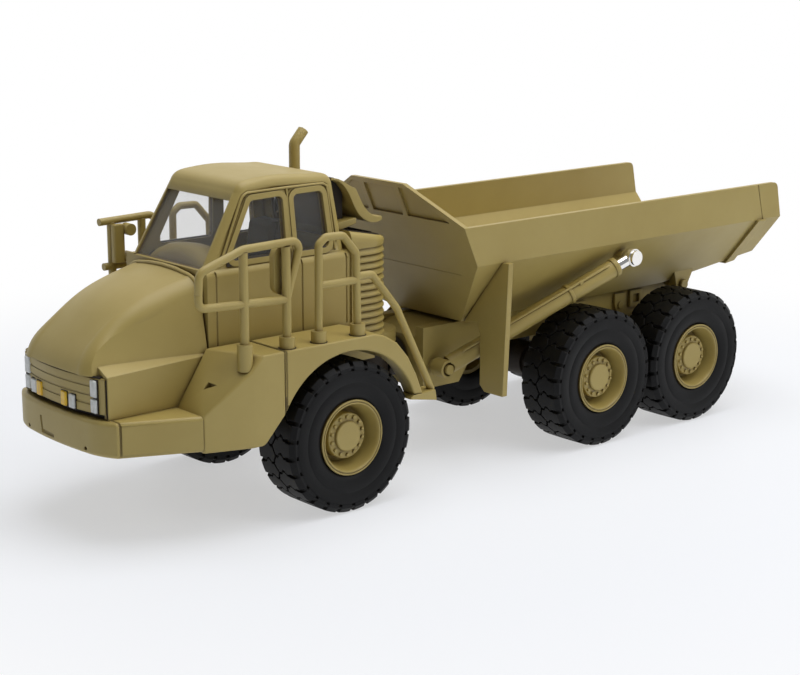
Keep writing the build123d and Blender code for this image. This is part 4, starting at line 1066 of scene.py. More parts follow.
# ---------------------------------------------------------------- wheels
@dataclass
class Wheel:
    """One wheel: a moulded tyre with its tread, and a dished rim with its bolts."""

    body: str
    x: float
    y: float
    outward: int
    tyre_r: float = 16.15
    ridge_r: float = 15.1
    half_w: float = 6.0
    flat_half: float = 5.2
    rim_r: float = 7.95
    axle_z: float = 16.15
    groove_depth: float = 0.75
    lug_count: int = 26
    groove_w: float = 0.56
    notch_w: float = 1.0
    zigzag: float = 0.55
    crown_drop: float = 0.05
    tyre_steps: int = 128
    rim_steps: int = 112
    bolt_count: int = 14
    bolt_ring_r: float = 4.1
    bolt_r: float = 0.43
    bolt_height: float = 0.42
    bolt_taper: float = 0.82
    bolt_steps: int = 10
    hub_face: float = 2.19
    # sidewall: radius and distance inside the half width; its two first points are at the seat
    sidewall: tuple = (
        (8.0, 1.25), (8.15, 0.80), (8.5, 0.45), (9.3, 0.20), (10.4, 0.07), (11.65, 0.01), (11.8, 0.10),
        (11.95, 0.01), (13.9, 0.0), (14.25, 0.06), (14.36, 0.55), (14.66, 0.58), (14.80, 0.12),
        (15.0, 0.03))
    # tread block, from the middle groove to the shoulder: y, whether the gap is the wide notch, and
    # shift along the tread; None is the block's pointed inner end
    block: tuple = (
        (None, False, 0.0), (1.3, False, 0.0), (1.9, False, -0.75), (2.5, False, -0.75),
        (3.1, False, 0.0), (3.8, False, 0.0), (3.92, True, 0.0), (4.6, True, 0.0), (5.2, True, 0.0),
        (5.5, True, 0.0), (5.96, True, 0.0))
    # rim's outer side: distance inside the rim's radius and inside the half width
    lip: tuple = ((0.0, 0.62), (-0.12, 0.42), (-0.13, 0.28), (-0.02, 0.17), (0.22, 0.16), (0.31, 0.36),
                  (0.39, 0.36), (0.48, 0.18), (0.70, 0.17), (0.90, 0.45), (1.0, 1.2), (1.55, 3.4),
                  (2.05, 4.9))
    # hub: radius and distance inside the half width
    hub: tuple = ((5.5, 5.25), (5.1, 5.35), (4.92, 5.25), (4.88, 2.38), (4.74, 2.19), (3.42, 2.16),
                  (3.28, 2.14), (3.20, 1.66), (3.02, 1.48), (0.0, 1.45))

    def build(self) -> list:
        """Build the wheel's pieces."""
        return [self.build_tyre(), self.build_rim(), self.build_bolts()]

    @property
    def tag(self) -> str:
        """The wheel's place in words, such as front_left."""
        return self.body.removeprefix("wheel_")

    @property
    def centre(self) -> tuple:
        """Middle of the wheel."""
        return (self.x, self.y, self.axle_z)

    def crown(self, y: float) -> float:
        """Radius of the tread's top at a distance from the tyre's middle plane.

        Args:
            y: distance from the middle plane, in millimetres.

        Returns:
            The radius, in millimetres.
        """
        over = max(0.0, abs(y) - self.flat_half) / (self.half_w - self.flat_half)
        fall = (self.tyre_r - self.ridge_r - self.crown_drop) * over
        return self.tyre_r - self.crown_drop * (y / self.flat_half) ** 2 - fall

    def build_tyre(self) -> bpy.types.Object:
        """Build the carcass with its sidewall rings, and the tread round it.

        Returns:
            The finished piece.
        """
        half, floor = self.half_w, self.tyre_r - self.groove_depth
        side = [(radius, half - inside) for radius, inside in self.sidewall]
        upper = side + [(floor - 0.1, half - 0.35), (floor, 4.6), (floor, 0.0)]
        lower = [(r, -y) for r, y in reversed(upper[:-1])]
        bm = bmesh.new()
        lathe_y(bm, upper + lower, self.centre, self.tyre_steps)
        carcass = from_bmesh(f"carcass_{self.tag}", bm, 40)
        rows = []
        for hand, shift in ((1, 0.5), (-1, 0.0)):
            values = {"Count": self.lug_count, "Start": shift * 2 * math.pi / self.lug_count,
                      "Centre": tuple(c * MM for c in self.centre)}
            name = f"tread_{self.tag}_{hand}"
            rows.append(ARRAYS.run(ARRAYS.ring, name, self.build_lug(hand), Slot.RUBBER, values))
        join_into(carcass, rows)
        carcass.name = f"tyre_moulded_{self.tag}"
        return finish_piece(carcass, self.body, Slot.RUBBER, f"tyre_{self.tag}")

    def build_lug(self, hand: int) -> bpy.types.Object:
        """Build one tread block of a row, at the wheel's top: hooked sides and a pointed inner end.

        Args:
            hand: 1 for the row towards +Y, -1 for the other.

        Returns:
            The stamp, about the wheel's centre at the origin.
        """
        pitch = 2 * math.pi * self.tyre_r / self.lug_count
        bm = bmesh.new()
        rows = []
        for y, notched, shift in self.block:
            gap = (self.notch_w if notched else self.groove_w) / pitch
            row = []
            for share in (0.0, 0.25, 0.5, 0.75, 1.0):
                along = -0.5 + gap / 2 + share * (1 - gap)
                inner = self.zigzag * (4 * abs(along) - 1) + self.groove_w / 2
                here = inner if y is None else y
                turn = (shift + along * pitch) / self.tyre_r
                for radius in (self.crown(here), self.crown(here) - self.groove_depth - 0.1):
                    place = (radius * math.sin(turn), here * hand, radius * math.cos(turn))
                    row.append(bm.verts.new(place))
            rows.append(row)
        for a, b in zip(rows, rows[1:]):
            for i in range(0, 8, 2):
                bm.faces.new((a[i], b[i], b[i + 2], a[i + 2]))
            bm.faces.new((a[1], b[1], b[0], a[0]))
            bm.faces.new((a[8], b[8], b[9], a[9]))
        for end in (rows[0], rows[-1]):
            for i in range(0, 8, 2):
                bm.faces.new((end[i], end[i + 2], end[i + 3], end[i + 1]))
        return from_bmesh("lug_stamp", bm, 28)

    def build_rim(self) -> bpy.types.Object:
        """Build the rim: double lip, deep dish, hub drum and flat cap.

        Returns:
            The finished piece.
        """
        edge, half = self.rim_r, self.half_w
        front = [(edge, -half + 1.4)] + [(edge - within, half - inside) for within, inside in self.lip]
        front += [(radius, half - inside) for radius, inside in self.hub]
        back = [(0.0, -1.6), (edge - 1.0, -1.6), (edge - 1.0, -half + 1.4)]
        profile = [(r, y * self.outward) for r, y in front + back]
        bm = bmesh.new()
        lathe_y(bm, profile, self.centre, self.rim_steps)
        rim = from_bmesh(f"rim_dished_{self.tag}", bm, 30)
        return finish_piece(rim, self.body, Slot.PAINT, f"rim_{self.tag}")

    def build_bolts(self) -> bpy.types.Object:
        """Build the ring of small bolts in the hub's face.

        Returns:
            The finished piece.
        """
        bm = bmesh.new()
        foot = (0, (self.half_w - self.hub_face) * self.outward, self.bolt_ring_r)
        height = self.bolt_height * self.outward
        disc(bm, foot, "Y", self.bolt_r, height, self.bolt_steps, self.bolt_taper)
        stamp = from_bmesh("bolt_stamp", bm)
        values = {"Count": self.bolt_count, "Centre": tuple(c * MM for c in self.centre)}
        bolts = ARRAYS.run(ARRAYS.ring, f"rim_bolts_{self.tag}", stamp, Slot.PAINT, values)
        return finish_piece(bolts, self.body, Slot.PAINT)


# ---------------------------------------------------------------- front unit
@dataclass
class Cab:
    """The cab's shell and roof with their seams, and what shows through the glass."""

    seam_r: float = 0.22
    frame_seam_r: float = 0.3
    side_y: float = 15.0
    belt_z: float = 52.6
    skin: tuple = (14.0, 0.075)
    door_x: tuple = (68.8, 47.1, 35.3)
    # side lines as (x, z): round the window frames, and between them
    frame_lines: tuple = (
        ((67.2, 53.2), (61.2, 65.4), (60.5, 66.5), (59.4, 67.1), (49.4, 67.25), (39.9, 67.2),
         (38.9, 66.6), (37.6, 53.2)),
        ((49.0, 53.2), (49.4, 67.1)))
    sills: tuple = ((50.6, 65.5), (39.4, 47.4))
    sill_z: tuple = (52.75, 53.95)
    sill_y: tuple = (-0.6, 0.32)
    # instrument cowl: x, height of its top, half width
    cowl: tuple = ((56.6, 51.2, 7.4), (59.0, 53.9, 9.2), (62.0, 55.2, 10.4), (64.8, 55.6, 11.2),
                   (66.6, 54.9, 11.6), (67.9, 53.4, 11.8), (68.6, 51.9, 11.9))
    cowl_foot_z: float = 50.0
    cowl_steps: int = 16
    cowl_fullness: float = 0.6
    # seat pads as (x, z)
    cushion: tuple = ((47.6, 45.4), (54.8, 44.9), (55.4, 45.6), (54.9, 46.3), (48.0, 46.6))
    back_pad: tuple = ((47.4, 46.2), (45.3, 58.2), (46.2, 58.6), (47.1, 57.6), (48.7, 47.0))
    arm_rest: tuple = ((46.8, 49.0), (53.8, 49.6), (53.8, 50.6), (46.4, 50.2))
    arm_y: tuple = (4.4, 5.6)

    def build(self) -> list:
        """Build the cab's pieces.

        Returns:
            The finished pieces.
        """
        pieces = [softened("cab_shell", 0.3, cuts=self.seams(), joined=("cab_roof",))]
        for node in ("cab_interior", "driver_seat", "steering_wheel"):
            pieces.append(softened(node, 0.3, 2))
        return pieces + [self.build_cowl(), self.build_pads(), self.build_sills()]

    def skin_y(self, z: float) -> float:
        """Y of the leaning side above the belt."""
        return self.skin[0] - self.skin[1] * (z - self.belt_z)

    def seams(self) -> bmesh.types.BMesh:
        """Make the cutters along the door's edges and the lines beside the window frames.

        Returns:
            Closed solids in millimetres, to be cut away.
        """
        bm = bmesh.new()
        for _, sign in SIDES:
            for x in self.door_x:
                line = [(x, self.side_y, 37.0), (x, self.side_y, 51.0), (x, 14.55, 52.1)]
                sweep(bm, [(a, sign * b, c) for a, b, c in line], self.seam_r)
            for line in self.frame_lines:
                sweep(bm, [(x, sign * self.skin_y(z), z) for x, z in line], self.frame_seam_r)
        return bm

    def build_sills(self) -> bpy.types.Object:
        """Build the dark seals under the side windows.

        Returns:
            The finished piece.
        """
        bm = bmesh.new()
        for _, sign in SIDES:
            inner, outer = self.sill_y
            foot, top = self.sill_z
            corners = ((outer, foot), (outer, top), (inner, top), (inner, foot))
            section = [(sign * (self.skin_y(z) + out), z) for out, z in corners]
            for low, high in self.sills:
                prism(bm, section, "X", low, high)
        return finish_piece(from_bmesh("window_sill_seals", bm), "front_unit", Slot.DARK)

    def build_cowl(self) -> bpy.types.Object:
        """Build the instrument cowl, a rounded mound behind the windscreen.

        Returns:
            The finished piece.
        """
        bm = bmesh.new()
        rows = []
        foot, last = self.cowl_foot_z, self.cowl_steps
        for x, top, half in self.cowl:
            row = []
            for step in range(last + 1):
                turn = math.pi * step / last
                rise = math.sin(turn) ** self.cowl_fullness
                row.append(bm.verts.new((x, half * math.cos(turn), foot + (top - foot) * rise)))
            rows.append(row)
        for a, b in zip(rows, rows[1:]):
            for i in range(last):
                bm.faces.new((a[i], a[i + 1], b[i + 1], b[i]))
            bm.faces.new((a[0], b[0], b[last], a[last]))
        bm.faces.new(rows[0])
        bm.faces.new(reversed(rows[-1]))
        return finish_piece(from_bmesh("instrument_cowl", bm, 50), "front_unit", Slot.PAINT)

    def build_pads(self) -> bpy.types.Object:
        """Build the seat's cushion, back pad and arm rests.

        Returns:
            The finished piece.
        """
        bm = bmesh.new()
        prism(bm, self.cushion, "Y", -3.9, 3.9)
        prism(bm, self.back_pad, "Y", -3.6, 3.6)
        for _, sign in SIDES:
            prism(bm, self.arm_rest, "Y", *sorted(y * sign for y in self.arm_y))
        pads = from_bmesh("seat_pads", bm)
        return finish_piece(pads, "front_unit", Slot.DARK)


@dataclass
class Nose:
    """Hood, grille, lamps and bumper, with their seams, and dark strips of painted shade in the gaps."""

    grille_x: float = 97.9
    grille_bow_r: float = 57.52
    # gap_z, gap_half and side_strip place the dark strips of painted shade in the nose's gaps
    gap_z: tuple = (26.32, 27.38)
    brow_z: float = 34.68
    brow_r: float = 0.3
    bar_z: tuple = (28.2, 33.9)
    bar_half: float = 13.7
    brow_half: float = 15.2
    gap_half: float = 14.2
    bar_depth: float = 0.13
    side_strip: tuple = (15.5, 15.66)
    bed_rim: float = 0.16
    # lamps: y and z of the middle, height, width
    lamps: tuple = ((12.7, 32.4, 3.4, 2.1), (12.7, 28.9, 2.8, 2.1), (6.2, 28.8, 2.8, 2.1),
                    (-12.9, 32.4, 3.4, 2.1), (-12.9, 28.9, 2.8, 2.1), (-9.3, 28.8, 2.8, 2.1),
                    (3.5, 28.9, 2.9, 2.1), (-6.5, 28.9, 2.9, 2.1))
    corner_line: tuple = ((94.5, 18.62, 18.4), (94.5, 18.62, 25.5), (94.6, 18.1, 26.25),
                          (94.8, 16.0, 26.35))
    corner_r: float = 0.27
    slot_line: tuple = ((98.4, -5.4, 23.6), (98.4, -4.9, 20.5), (98.5, -0.2, 20.4))
    slot_r: float = 0.44
    # hood's rear lip: half of its line as (y, z), and its top
    lip_x: float = 71.65
    lip: tuple = ((13.25, 43.0), (13.2, 46.6), (12.95, 48.4), (12.1, 50.1), (10.8, 50.8), (9.2, 51.2),
                  (4.6, 51.75))
    lip_top_z: float = 51.92
    lip_r: float = 0.5

    def build(self) -> list:
        """Build the nose's pieces.

        Returns:
            The finished pieces.
        """
        pieces = [softened("bumper", 0.7, 4, cuts=self.bumper_cuts()),
                  softened("hood", 0.22, 2, cuts=self.brow()),
                  softened("grille", 0.12, 2, cuts=self.brow()),
                  softened("headlamps", 0.22), softened("turn_lamps", 0.22)]
        return pieces + [self.build_lip(), self.build_gap_shade(), self.build_bars(), self.build_surrounds()]

    def face_x(self, y: float) -> float:
        """X of the grille's bowed face."""
        return self.grille_x - self.grille_bow_r + math.sqrt(self.grille_bow_r ** 2 - y ** 2)

    def brow(self) -> bmesh.types.BMesh:
        """Make the cutter of the groove between the hood's front edge and the grille.

        Returns:
            Closed solids in millimetres, to be cut away.
        """
        bm = bmesh.new()
        across = [i * self.brow_half / 10 for i in range(-10, 11)]
        sweep(bm, [(self.face_x(y), y, self.brow_z) for y in across], self.brow_r)
        return bm

    def bumper_cuts(self) -> bmesh.types.BMesh:
        """Make the cutters of the bumper's corner joints, its angled slot and two low holes.

        Returns:
            Closed solids in millimetres, to be cut away.
        """
        bm = bmesh.new()
        for _, sign in SIDES:
            sweep(bm, [(x, sign * y, z) for x, y, z in self.corner_line], self.corner_r)
            disc(bm, (97.0, sign * 11.0, 20.2), "X", 0.4, 2.0, 16)
        sweep(bm, self.slot_line, self.slot_r)
        return bm

    def build_lip(self) -> bpy.types.Object:
        """Build the raised lip along the hood's rear edge.

        Returns:
            The finished piece.
        """
        line = [(self.lip_x, y, z) for y, z in self.lip] + [(self.lip_x, 0.0, self.lip_top_z)]
        line += [(self.lip_x, -y, z) for y, z in reversed(self.lip)]
        bm = bmesh.new()
        sweep(bm, line, self.lip_r, 14)
        return finish_piece(from_bmesh("hood_rear_lip", bm, 50), "front_unit", Slot.PAINT)

    def build_gap_shade(self) -> bpy.types.Object:
        """Build the dark strips in the gaps under the grille, along its brow and beside it: painted
        shade in the gaps.

        Returns:
            The finished piece.
        """
        half = self.gap_half
        steps = [i * half / 8 for i in range(-8, 9)]
        bm = bmesh.new()
        front = [(self.face_x(y) - 1.3, y) for y in steps]
        prism(bm, front + [(91.5, half), (91.5, -half)], "Z", *self.gap_z)
        brow = [(self.face_x(y) - 0.16, y) for y in steps]
        prism(bm, brow + [(94.0, half), (94.0, -half)], "Z", self.brow_z - 0.2, self.brow_z + 0.2)
        for _, sign in SIDES:
            slab(bm, (95.38, 95.6), tuple(sorted(y * sign for y in self.side_strip)), (26.6, 34.4))
        return finish_piece(from_bmesh("nose_gap_strips", bm), "front_unit", Slot.BLACK)

    def build_bars(self) -> bpy.types.Object:
        """Build the painted floor of the shallow lines between the grille's bars.

        Returns:
            The finished piece.
        """
        steps = [i * self.bar_half / 8 for i in range(-8, 9)]
        bm = bmesh.new()
        front = [(self.face_x(y) - self.bar_depth, y) for y in steps]
        prism(bm, front + [(94.5, self.bar_half), (94.5, -self.bar_half)], "Z", *self.bar_z)
        return finish_piece(from_bmesh("grille_line_floors", bm), "front_unit", Slot.PAINT)

    def build_surrounds(self) -> bpy.types.Object:
        """Build the dark beds that the lamps stand in.

        Returns:
            The finished piece.
        """
        bm = bmesh.new()
        for y, z, height, width in self.lamps:
            x, a, b = self.face_x(y), width / 2 + self.bed_rim, height / 2 + self.bed_rim
            slab(bm, (x - 1.0, x + 0.06), (y - a, y + a), (z - b, z + b))
        return finish_piece(from_bmesh("lamp_beds", bm), "front_unit", Slot.BLACK)


@dataclass
class Deck:
    """Fenders, steps, handrails and mirrors."""

    rail_y: float = 26.4
    top_z: float = 37.3
    level_posts: tuple = (59.8, 51.8, 41.6)
    seam_x: tuple = (61.55, 62.0)
    fender_y: tuple = (16.2, 28.6)
    seam_depth: float = 0.07
    seam_foot_z: float = 27.8
    # size of the dark rings of painted shade under the collars
    shade_ring_r: float = 1.82
    shade_ring_height: float = 0.28
    # recess in the front facet: the way out of it, its corners, and how far in and out it is cut
    facet_out: tuple = (0.675, 0.279, 0.684)
    recess_corners: tuple = ((76.87, 21.4, 30.6), (75.66, 21.4, 31.95), (75.1, 23.5, 31.6))
    recess_reach: tuple = (-2.4, 0.9)

    def build(self) -> list:
        """Build the deck's pieces.

        Returns:
            The finished pieces.
        """
        pieces = []
        for side, sign in SIDES:
            pieces.append(softened(f"fender_{side}", 0.4, cuts=self.recess(sign), clamp=False))
            pieces += [softened(f"step_{side}", 0.2, 2), softened(f"mirror_{side}", 0.25, 2),
                       softened(f"handrails_{side}", 0.22, 2)]
        return pieces + [self.build_collar_shade(), self.build_seam_floors()]

    def build_seam_floors(self) -> bpy.types.Object:
        """Build the painted floor of the shallow joint across each fender.

        Returns:
            The finished piece.
        """
        inner, outer = self.fender_y[0], self.fender_y[1] - self.seam_depth
        top = self.top_z - self.seam_depth
        bm = bmesh.new()
        for _, sign in SIDES:
            deck = tuple(sorted((inner * sign, outer * sign)))
            side = tuple(sorted(((outer - 0.3) * sign, outer * sign)))
            slab(bm, self.seam_x, deck, (top - 0.3, top))
            slab(bm, self.seam_x, side, (self.seam_foot_z, top - 0.3))
        return finish_piece(from_bmesh("fender_joint_floors", bm), "front_unit", Slot.PAINT)

    def recess(self, sign: int) -> bmesh.types.BMesh:
        """Make the cutter of a small three-sided recess in the fender's front facet.

        Args:
            sign: 1 on the left, -1 on the right.

        Returns:
            The cutter.
        """
        outer = Vector(self.facet_out)
        bm = bmesh.new()
        ends = []
        for reach in self.recess_reach:
            points = [Vector(corner) + outer * reach for corner in self.recess_corners]
            ends.append([bm.verts.new((v.x, sign * v.y, v.z)) for v in points])
        bm.faces.new(ends[0])
        bm.faces.new(reversed(ends[1]))
        for i in range(3):
            j = (i + 1) % 3
            bm.faces.new((ends[0][i], ends[0][j], ends[1][j], ends[1][i]))
        return bm

    def build_collar_shade(self) -> bpy.types.Object:
        """Build the dark rings under the collars that stand on the level top: painted shade where each
        collar meets the deck.

        Returns:
            The finished piece.
        """
        bm = bmesh.new()
        for _, sign in SIDES:
            for x in self.level_posts:
                foot = (x, sign * self.rail_y, self.top_z - 0.2)
                disc(bm, foot, "Z", self.shade_ring_r, self.shade_ring_height, 40)
        return finish_piece(from_bmesh("collar_seats", bm), "front_unit", Slot.BLACK)


@dataclass
class CabRear:
    """Louvred housing, wing and exhaust stack behind the cab."""

    hinge: tuple = (34.2, 56.6)
    droop: float = 12.0
    housing_x: tuple = (21.5, 34.2)
    housing_half: float = 15.4
    corner_r: float = 7.0
    foot_z: float = 31.0
    ribs: int = 14
    rib_top_z: float = 52.4
    deck_edge: tuple = (33.0, 36.0)
    flange: tuple = (0.7, 0.05)
    # one rib: inset and share of the pitch
    rib: tuple = ((0.75, 0.0), (0.22, 0.05), (0.04, 0.14), (0.0, 0.28), (0.05, 0.42), (0.26, 0.68),
                  (0.58, 0.92))
    # brow over the ribs: inset, height over the top rib, share of the way to the sloping top
    brow: tuple = ((0.6, 0.0, 0.0), (0.12, 0.15, 0.0), (0.0, 0.0, 0.4), (0.0, 0.0, 0.66),
                   (0.2, 0.0, 0.84), (0.62, 0.0, 0.96), (1.1, 0.0, 1.0))
    # wing's front end above the roof, as (x, z)
    trim: tuple = ((38.0, 72.0), (38.0, 67.9), (36.4, 67.9), (34.6, 67.5), (33.2, 66.9), (31.6, 65.9),
                   (30.4, 65.2), (29.0, 65.0), (29.0, 72.0))
    trim_half: float = 13.0
    # dark screen of painted shade, in the sloping top's own x and y
    screen_x: tuple = (-0.4, -6.4)
    screen_half: float = 14.2
    screen_corner: float = 5.4
    bar_x: tuple = (-11.0, -10.75)
    bar_half: float = 9.0
    bar_count: int = 12
    bar_step: float = 0.85
    # outline as (x, z) of the dark skins of painted shade in the wing's hollows, and their y range
    hollow: tuple = ((36.1, 58.2), (36.1, 67.9), (33.8, 67.4), (31.5, 64.8), (31.5, 58.4))
    hollow_y: tuple = (8.8, 8.98)

    def build(self) -> list:
        """Build the pieces behind the cab."""
        return [self.build_housing(), softened("rear_wing", 0.4, cuts=self.wing_trim()),
                softened("exhaust_stack", 0.1, 2), self.build_lid_shade(), self.build_hollow_shade()]

    def wing_trim(self) -> bmesh.types.BMesh:
        """Make the cutter of what stands above the roof's line on the wing's front end.

        Returns:
            Closed solids in millimetres, to be cut away.
        """
        bm = bmesh.new()
        prism(bm, self.trim, "Y", -self.trim_half, self.trim_half)
        return bm

    def top_z(self, x: float) -> float:
        """Height of the housing's sloping top."""
        return self.hinge[1] - (self.hinge[0] - x) * math.tan(math.radians(self.droop))

    def plan(self, inset: float) -> list:
        """Plan of the housing, from the cab's back on the left round to the right.

        Args:
            inset: how far the outline stands inside the full size.

        Returns:
            Points as (x, y).
        """
        rear, half = self.housing_x[0] + inset, self.housing_half - inset
        r = self.corner_r - inset
        left = [(self.housing_x[1], half)]
        for step in range(11):
            turn = math.radians(9 * step)
            left.append((rear + r - r * math.sin(turn), half - r + r * math.cos(turn)))
        return left + [(x, -y) for x, y in reversed(left)]

    def build_housing(self) -> bpy.types.Object:
        """Build the housing: round level ribs with dark undersides, and a smooth brow under the lid.

        Returns:
            The finished piece.
        """
        top = self.rib_top_z
        pitch = (top - self.foot_z) / self.ribs
        rings = [(inset, self.foot_z + (i + share) * pitch, 0.0)
                 for i in range(self.ribs) for inset, share in self.rib]
        rings += [(inset, top + over, share) for inset, over, share in self.brow]
        bm = bmesh.new()
        rows = []
        for inset, z, share in rings:
            rows.append([bm.verts.new((x, y, z + share * (self.top_z(x) - top)))
                         for x, y in self.plan(inset)])
        for a, b in zip(rows, rows[1:]):
            for i in range(len(a)):
                j = (i + 1) % len(a)
                bm.faces.new((a[i], a[j], b[j], b[i]))
        bm.faces.new(reversed(rows[0]))
        bm.faces.new(rows[-1])
        front, (edge_x, edge_z) = self.housing_x[1], self.deck_edge
        slab(bm, (front - self.flange[0], front - self.flange[1]),
             (-self.housing_half, self.housing_half), (edge_z + 0.05, top))
        piece = from_bmesh("ribbed_housing", bm, 50)
        notch = bmesh.new()
        slab(notch, (edge_x, front + 1), (-20, 20), (self.foot_z - 1, edge_z))
        carve(piece, notch)
        return finish_piece(piece, "front_unit", Slot.PAINT, "louvre_housing")

    def build_lid_shade(self) -> bpy.types.Object:
        """Build a dark screen with cross bars on the housing's sloping top: painted shade where the wing
        shades the top.

        Returns:
            The finished piece.
        """
        x, z = self.hinge
        (near, far), half, r = self.screen_x, self.screen_half, self.screen_corner
        outline = [(near, -half), (near, half), (far, half)]
        for step in range(1, 7):
            turn = math.radians(15 * step)
            outline.append((far - r * math.sin(turn), half - r + r * math.cos(turn)))
        outline += [(a, -b) for a, b in reversed(outline[2:])]
        bm = bmesh.new()
        prism(bm, outline, "Z", -0.1, 0.1)
        plate = from_bmesh("intake_screen", bm)
        bar = bmesh.new()
        slab(bar, self.bar_x, (-self.bar_half, self.bar_half), (0.05, 0.28))
        values = {"Count": self.bar_count, "Step": (self.bar_step * MM, 0.0, 0.0)}
        stamp = from_bmesh("bar_stamp", bar)
        bars = ARRAYS.run(ARRAYS.row, "screen_bars", stamp, Slot.BLACK, values)
        join_into(plate, [bars])
        lean = Matrix.Rotation(math.radians(-self.droop), 4, "Y")
        plate.data.transform(Matrix.Translation((x * MM, 0, z * MM)) @ lean)
        return finish_piece(plate, "front_unit", Slot.BLACK)

    def build_hollow_shade(self) -> bpy.types.Object:
        """Build the dark skins in the hollows under the wing's ends: painted shade in the hollows.

        Returns:
            The finished piece.
        """
        bm = bmesh.new()
        for _, sign in SIDES:
            prism(bm, self.hollow, "Y", *sorted(y * sign for y in self.hollow_y))
        return finish_piece(from_bmesh("wing_hollow_skins", bm), "front_unit", Slot.BLACK)


# ---------------------------------------------------------------- rear unit
@dataclass
class Bed:
    """The dump bed with its weld lines."""

    side_y: float = 25.3
    tail_joint: tuple = ((-89.0, 56.2), (-91.4, 46.8))
    joint_r: float = 0.16
    head_x: float = 5.45
    crease_z: float = 44.0
    crease_half: float = 18.6
    crease_r: float = 0.13

    def build(self) -> list:
        """Build the bed's piece."""
        return [softened("dump_bed", 0.3, cuts=self.welds())]

    def welds(self) -> bmesh.types.BMesh:
        """Make the cutters of the joint near the tail and the fold across the headboard.

        Returns:
            Closed solids in millimetres, to be cut away.
        """
        bm = bmesh.new()
        for _, sign in SIDES:
            sweep(bm, [(x, sign * self.side_y, z) for x, z in self.tail_joint], self.joint_r)
        ends = (-self.crease_half, self.crease_half)
        sweep(bm, [(self.head_x + 0.03, y, self.crease_z) for y in ends], self.crease_r)
        return bm


@dataclass
class Hoists:
    """The two hoists: barrels with their feed pipes, and bright rods with capped eyes."""

    low: tuple = (6.0, 13.2, 21.8)
    high: tuple = (-40.9, 27.1, 43.6)
    pipe_r: float = 0.32
    clip_r: float = 0.62
    clip_shares: tuple = (0.30, 0.72)
    pipe_lean: tuple = (0.55, 0.83)

    def build(self) -> list:
        """Build the hoists' pieces.

        Returns:
            The finished pieces.
        """
        pieces = []
        for side, sign in SIDES:
            pieces += [softened(f"hoist_barrel_{side}", 0.22, 2), softened(f"hoist_rod_{side}", 0.2, 2)]
            pieces.append(self.build_pipe(side, sign))
        return pieces

    def build_pipe(self, side: str, sign: int) -> bpy.types.Object:
        """Build the feed pipe along a barrel, held by two clips.

        Args:
            side: left or right.
            sign: 1 on the left, -1 on the right.

        Returns:
            The finished piece.
        """
        start, way = Vector(self.low), Vector(self.high) - Vector(self.low)
        length = way.length
        way.normalize()
        out = Vector((0, 1, 0)) - way * way.y
        outward, upward = self.pipe_lean
        out = (out.normalized() * outward + out.cross(way).normalized() * upward).normalized()

        def at(along: float, away: float) -> tuple:
            """Place a point beside the hoist's axis."""
            point = start + way * along + out * away
            return (point.x, sign * point.y, point.z)

        bm = bmesh.new()
        top = length - 6.6
        sweep(bm, [at(5.0, 1.6), at(6.2, 2.4), at(top - 1.4, 2.4), at(top, 1.8)], self.pipe_r)
        for along in (share * length for share in self.clip_shares):
            sweep(bm, [at(along - 0.5, 2.1), at(along + 0.5, 2.1)], self.clip_r)
        pipe = from_bmesh(f"hoist_pipe_{side}", bm, 50)
        return finish_piece(pipe, f"hoist_barrel_{side}", Slot.PAINT)


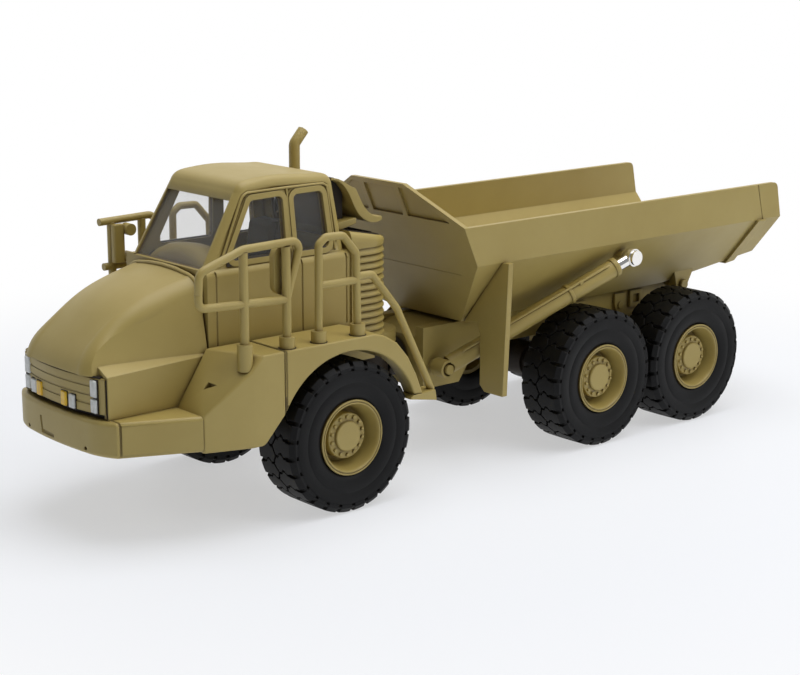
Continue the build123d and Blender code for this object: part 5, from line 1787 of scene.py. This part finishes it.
@dataclass
class Chassis:
    """Both frames with their brackets, the walking beams and the mudguards."""

    rail_y: float = 9.8
    softened_nodes: tuple = ("front_frame", "rear_frame", "bogie_beams", "mudguard_left",
                             "mudguard_right")
    plate: float = 0.8
    # square brackets: x and z of the middle; sides of the frame as x and z ranges about it
    squares: tuple = ((-61.2, 28.4), (-36.0, 28.0))
    square_sides: tuple = (((-2.2, -1.2), (-2.1, 2.1)), ((1.2, 2.2), (-2.1, 2.1)),
                           ((-1.2, 1.2), (1.1, 2.1)), ((-1.2, 1.2), (-2.1, -1.1)))
    # round lugs: x and z of the boss; outline about it
    lugs: tuple = ((-55.4, 27.4), (-41.0, 27.2))
    lug_outline: tuple = ((-1.9, 3.0), (-1.9, 0.0), (-1.2, -1.3), (0.0, -1.8), (1.2, -1.3), (1.9, 0.0),
                          (1.9, 3.0))
    boss_r: float = 0.95
    boss_foot: float = 0.7
    boss_height: float = 0.5
    pivot: tuple = (-73.5, 15.5, 31.0)
    cap_r: float = 1.35
    cap_height: float = 0.35
    cap_taper: float = 0.85

    def build(self) -> list:
        """Build the chassis pieces.

        Returns:
            The finished pieces.
        """
        pieces = [softened(node, 0.2, 2) for node in self.softened_nodes]
        return pieces + [self.build_brackets(), self.build_pin_caps()]

    def build_brackets(self) -> bpy.types.Object:
        """Build the square brackets and round lugs on the rear rails.

        Returns:
            The finished piece.
        """
        bm = bmesh.new()
        for _, sign in SIDES:
            low, high = sorted((self.rail_y * sign, (self.rail_y + self.plate) * sign))
            for x, z in self.squares:
                for a, b in self.square_sides:
                    slab(bm, (x + a[0], x + a[1]), (low, high), (z + b[0], z + b[1]))
            for x, z in self.lugs:
                prism(bm, [(x + a, z + b) for a, b in self.lug_outline], "Y", low, high)
                boss = (x, (self.rail_y + self.boss_foot) * sign, z)
                disc(bm, boss, "Y", self.boss_r, self.boss_height * sign, 24)
        return finish_piece(from_bmesh("rail_brackets", bm), "rear_unit", Slot.PAINT)

    def build_pin_caps(self) -> bpy.types.Object:
        """Build the caps on the bed's pivot pins.

        Returns:
            The finished piece.
        """
        bm = bmesh.new()
        x, y, z = self.pivot
        for _, sign in SIDES:
            disc(bm, (x, y * sign, z), "Y", self.cap_r, self.cap_height * sign, 28, self.cap_taper)
        return finish_piece(from_bmesh("pivot_caps", bm), "rear_unit", Slot.PAINT)


def dress_bare_nodes() -> None:
    """Give every CAD node that still shows its slot's material."""
    for name, node in frame["nodes"].items():
        node.data.materials.clear()
        node.data.materials.append(MATERIALS[slot_of(name)])


def main() -> None:
    """Build the whole model."""
    logging.basicConfig(level=logging.INFO, format="%(message)s")
    dress_bare_nodes()
    Studio().build()
    log.info("studio: floor, lamps and camera")
    for row, x in AXLES:
        for side, sign in SIDES:
            wheel = Wheel(f"wheel_{row}_{side}", x, WHEEL_Y * sign, sign)
            log.info("wheel %s: %s", wheel.tag, [p.name for p in wheel.build()])
    for assembly in (Cab(), Nose(), Deck(), CabRear(), Bed(), Hoists(), Chassis()):
        log.info("%s: %s", type(assembly).__name__, [p.name for p in assembly.build()])


if __name__ == "__main__":
    main()
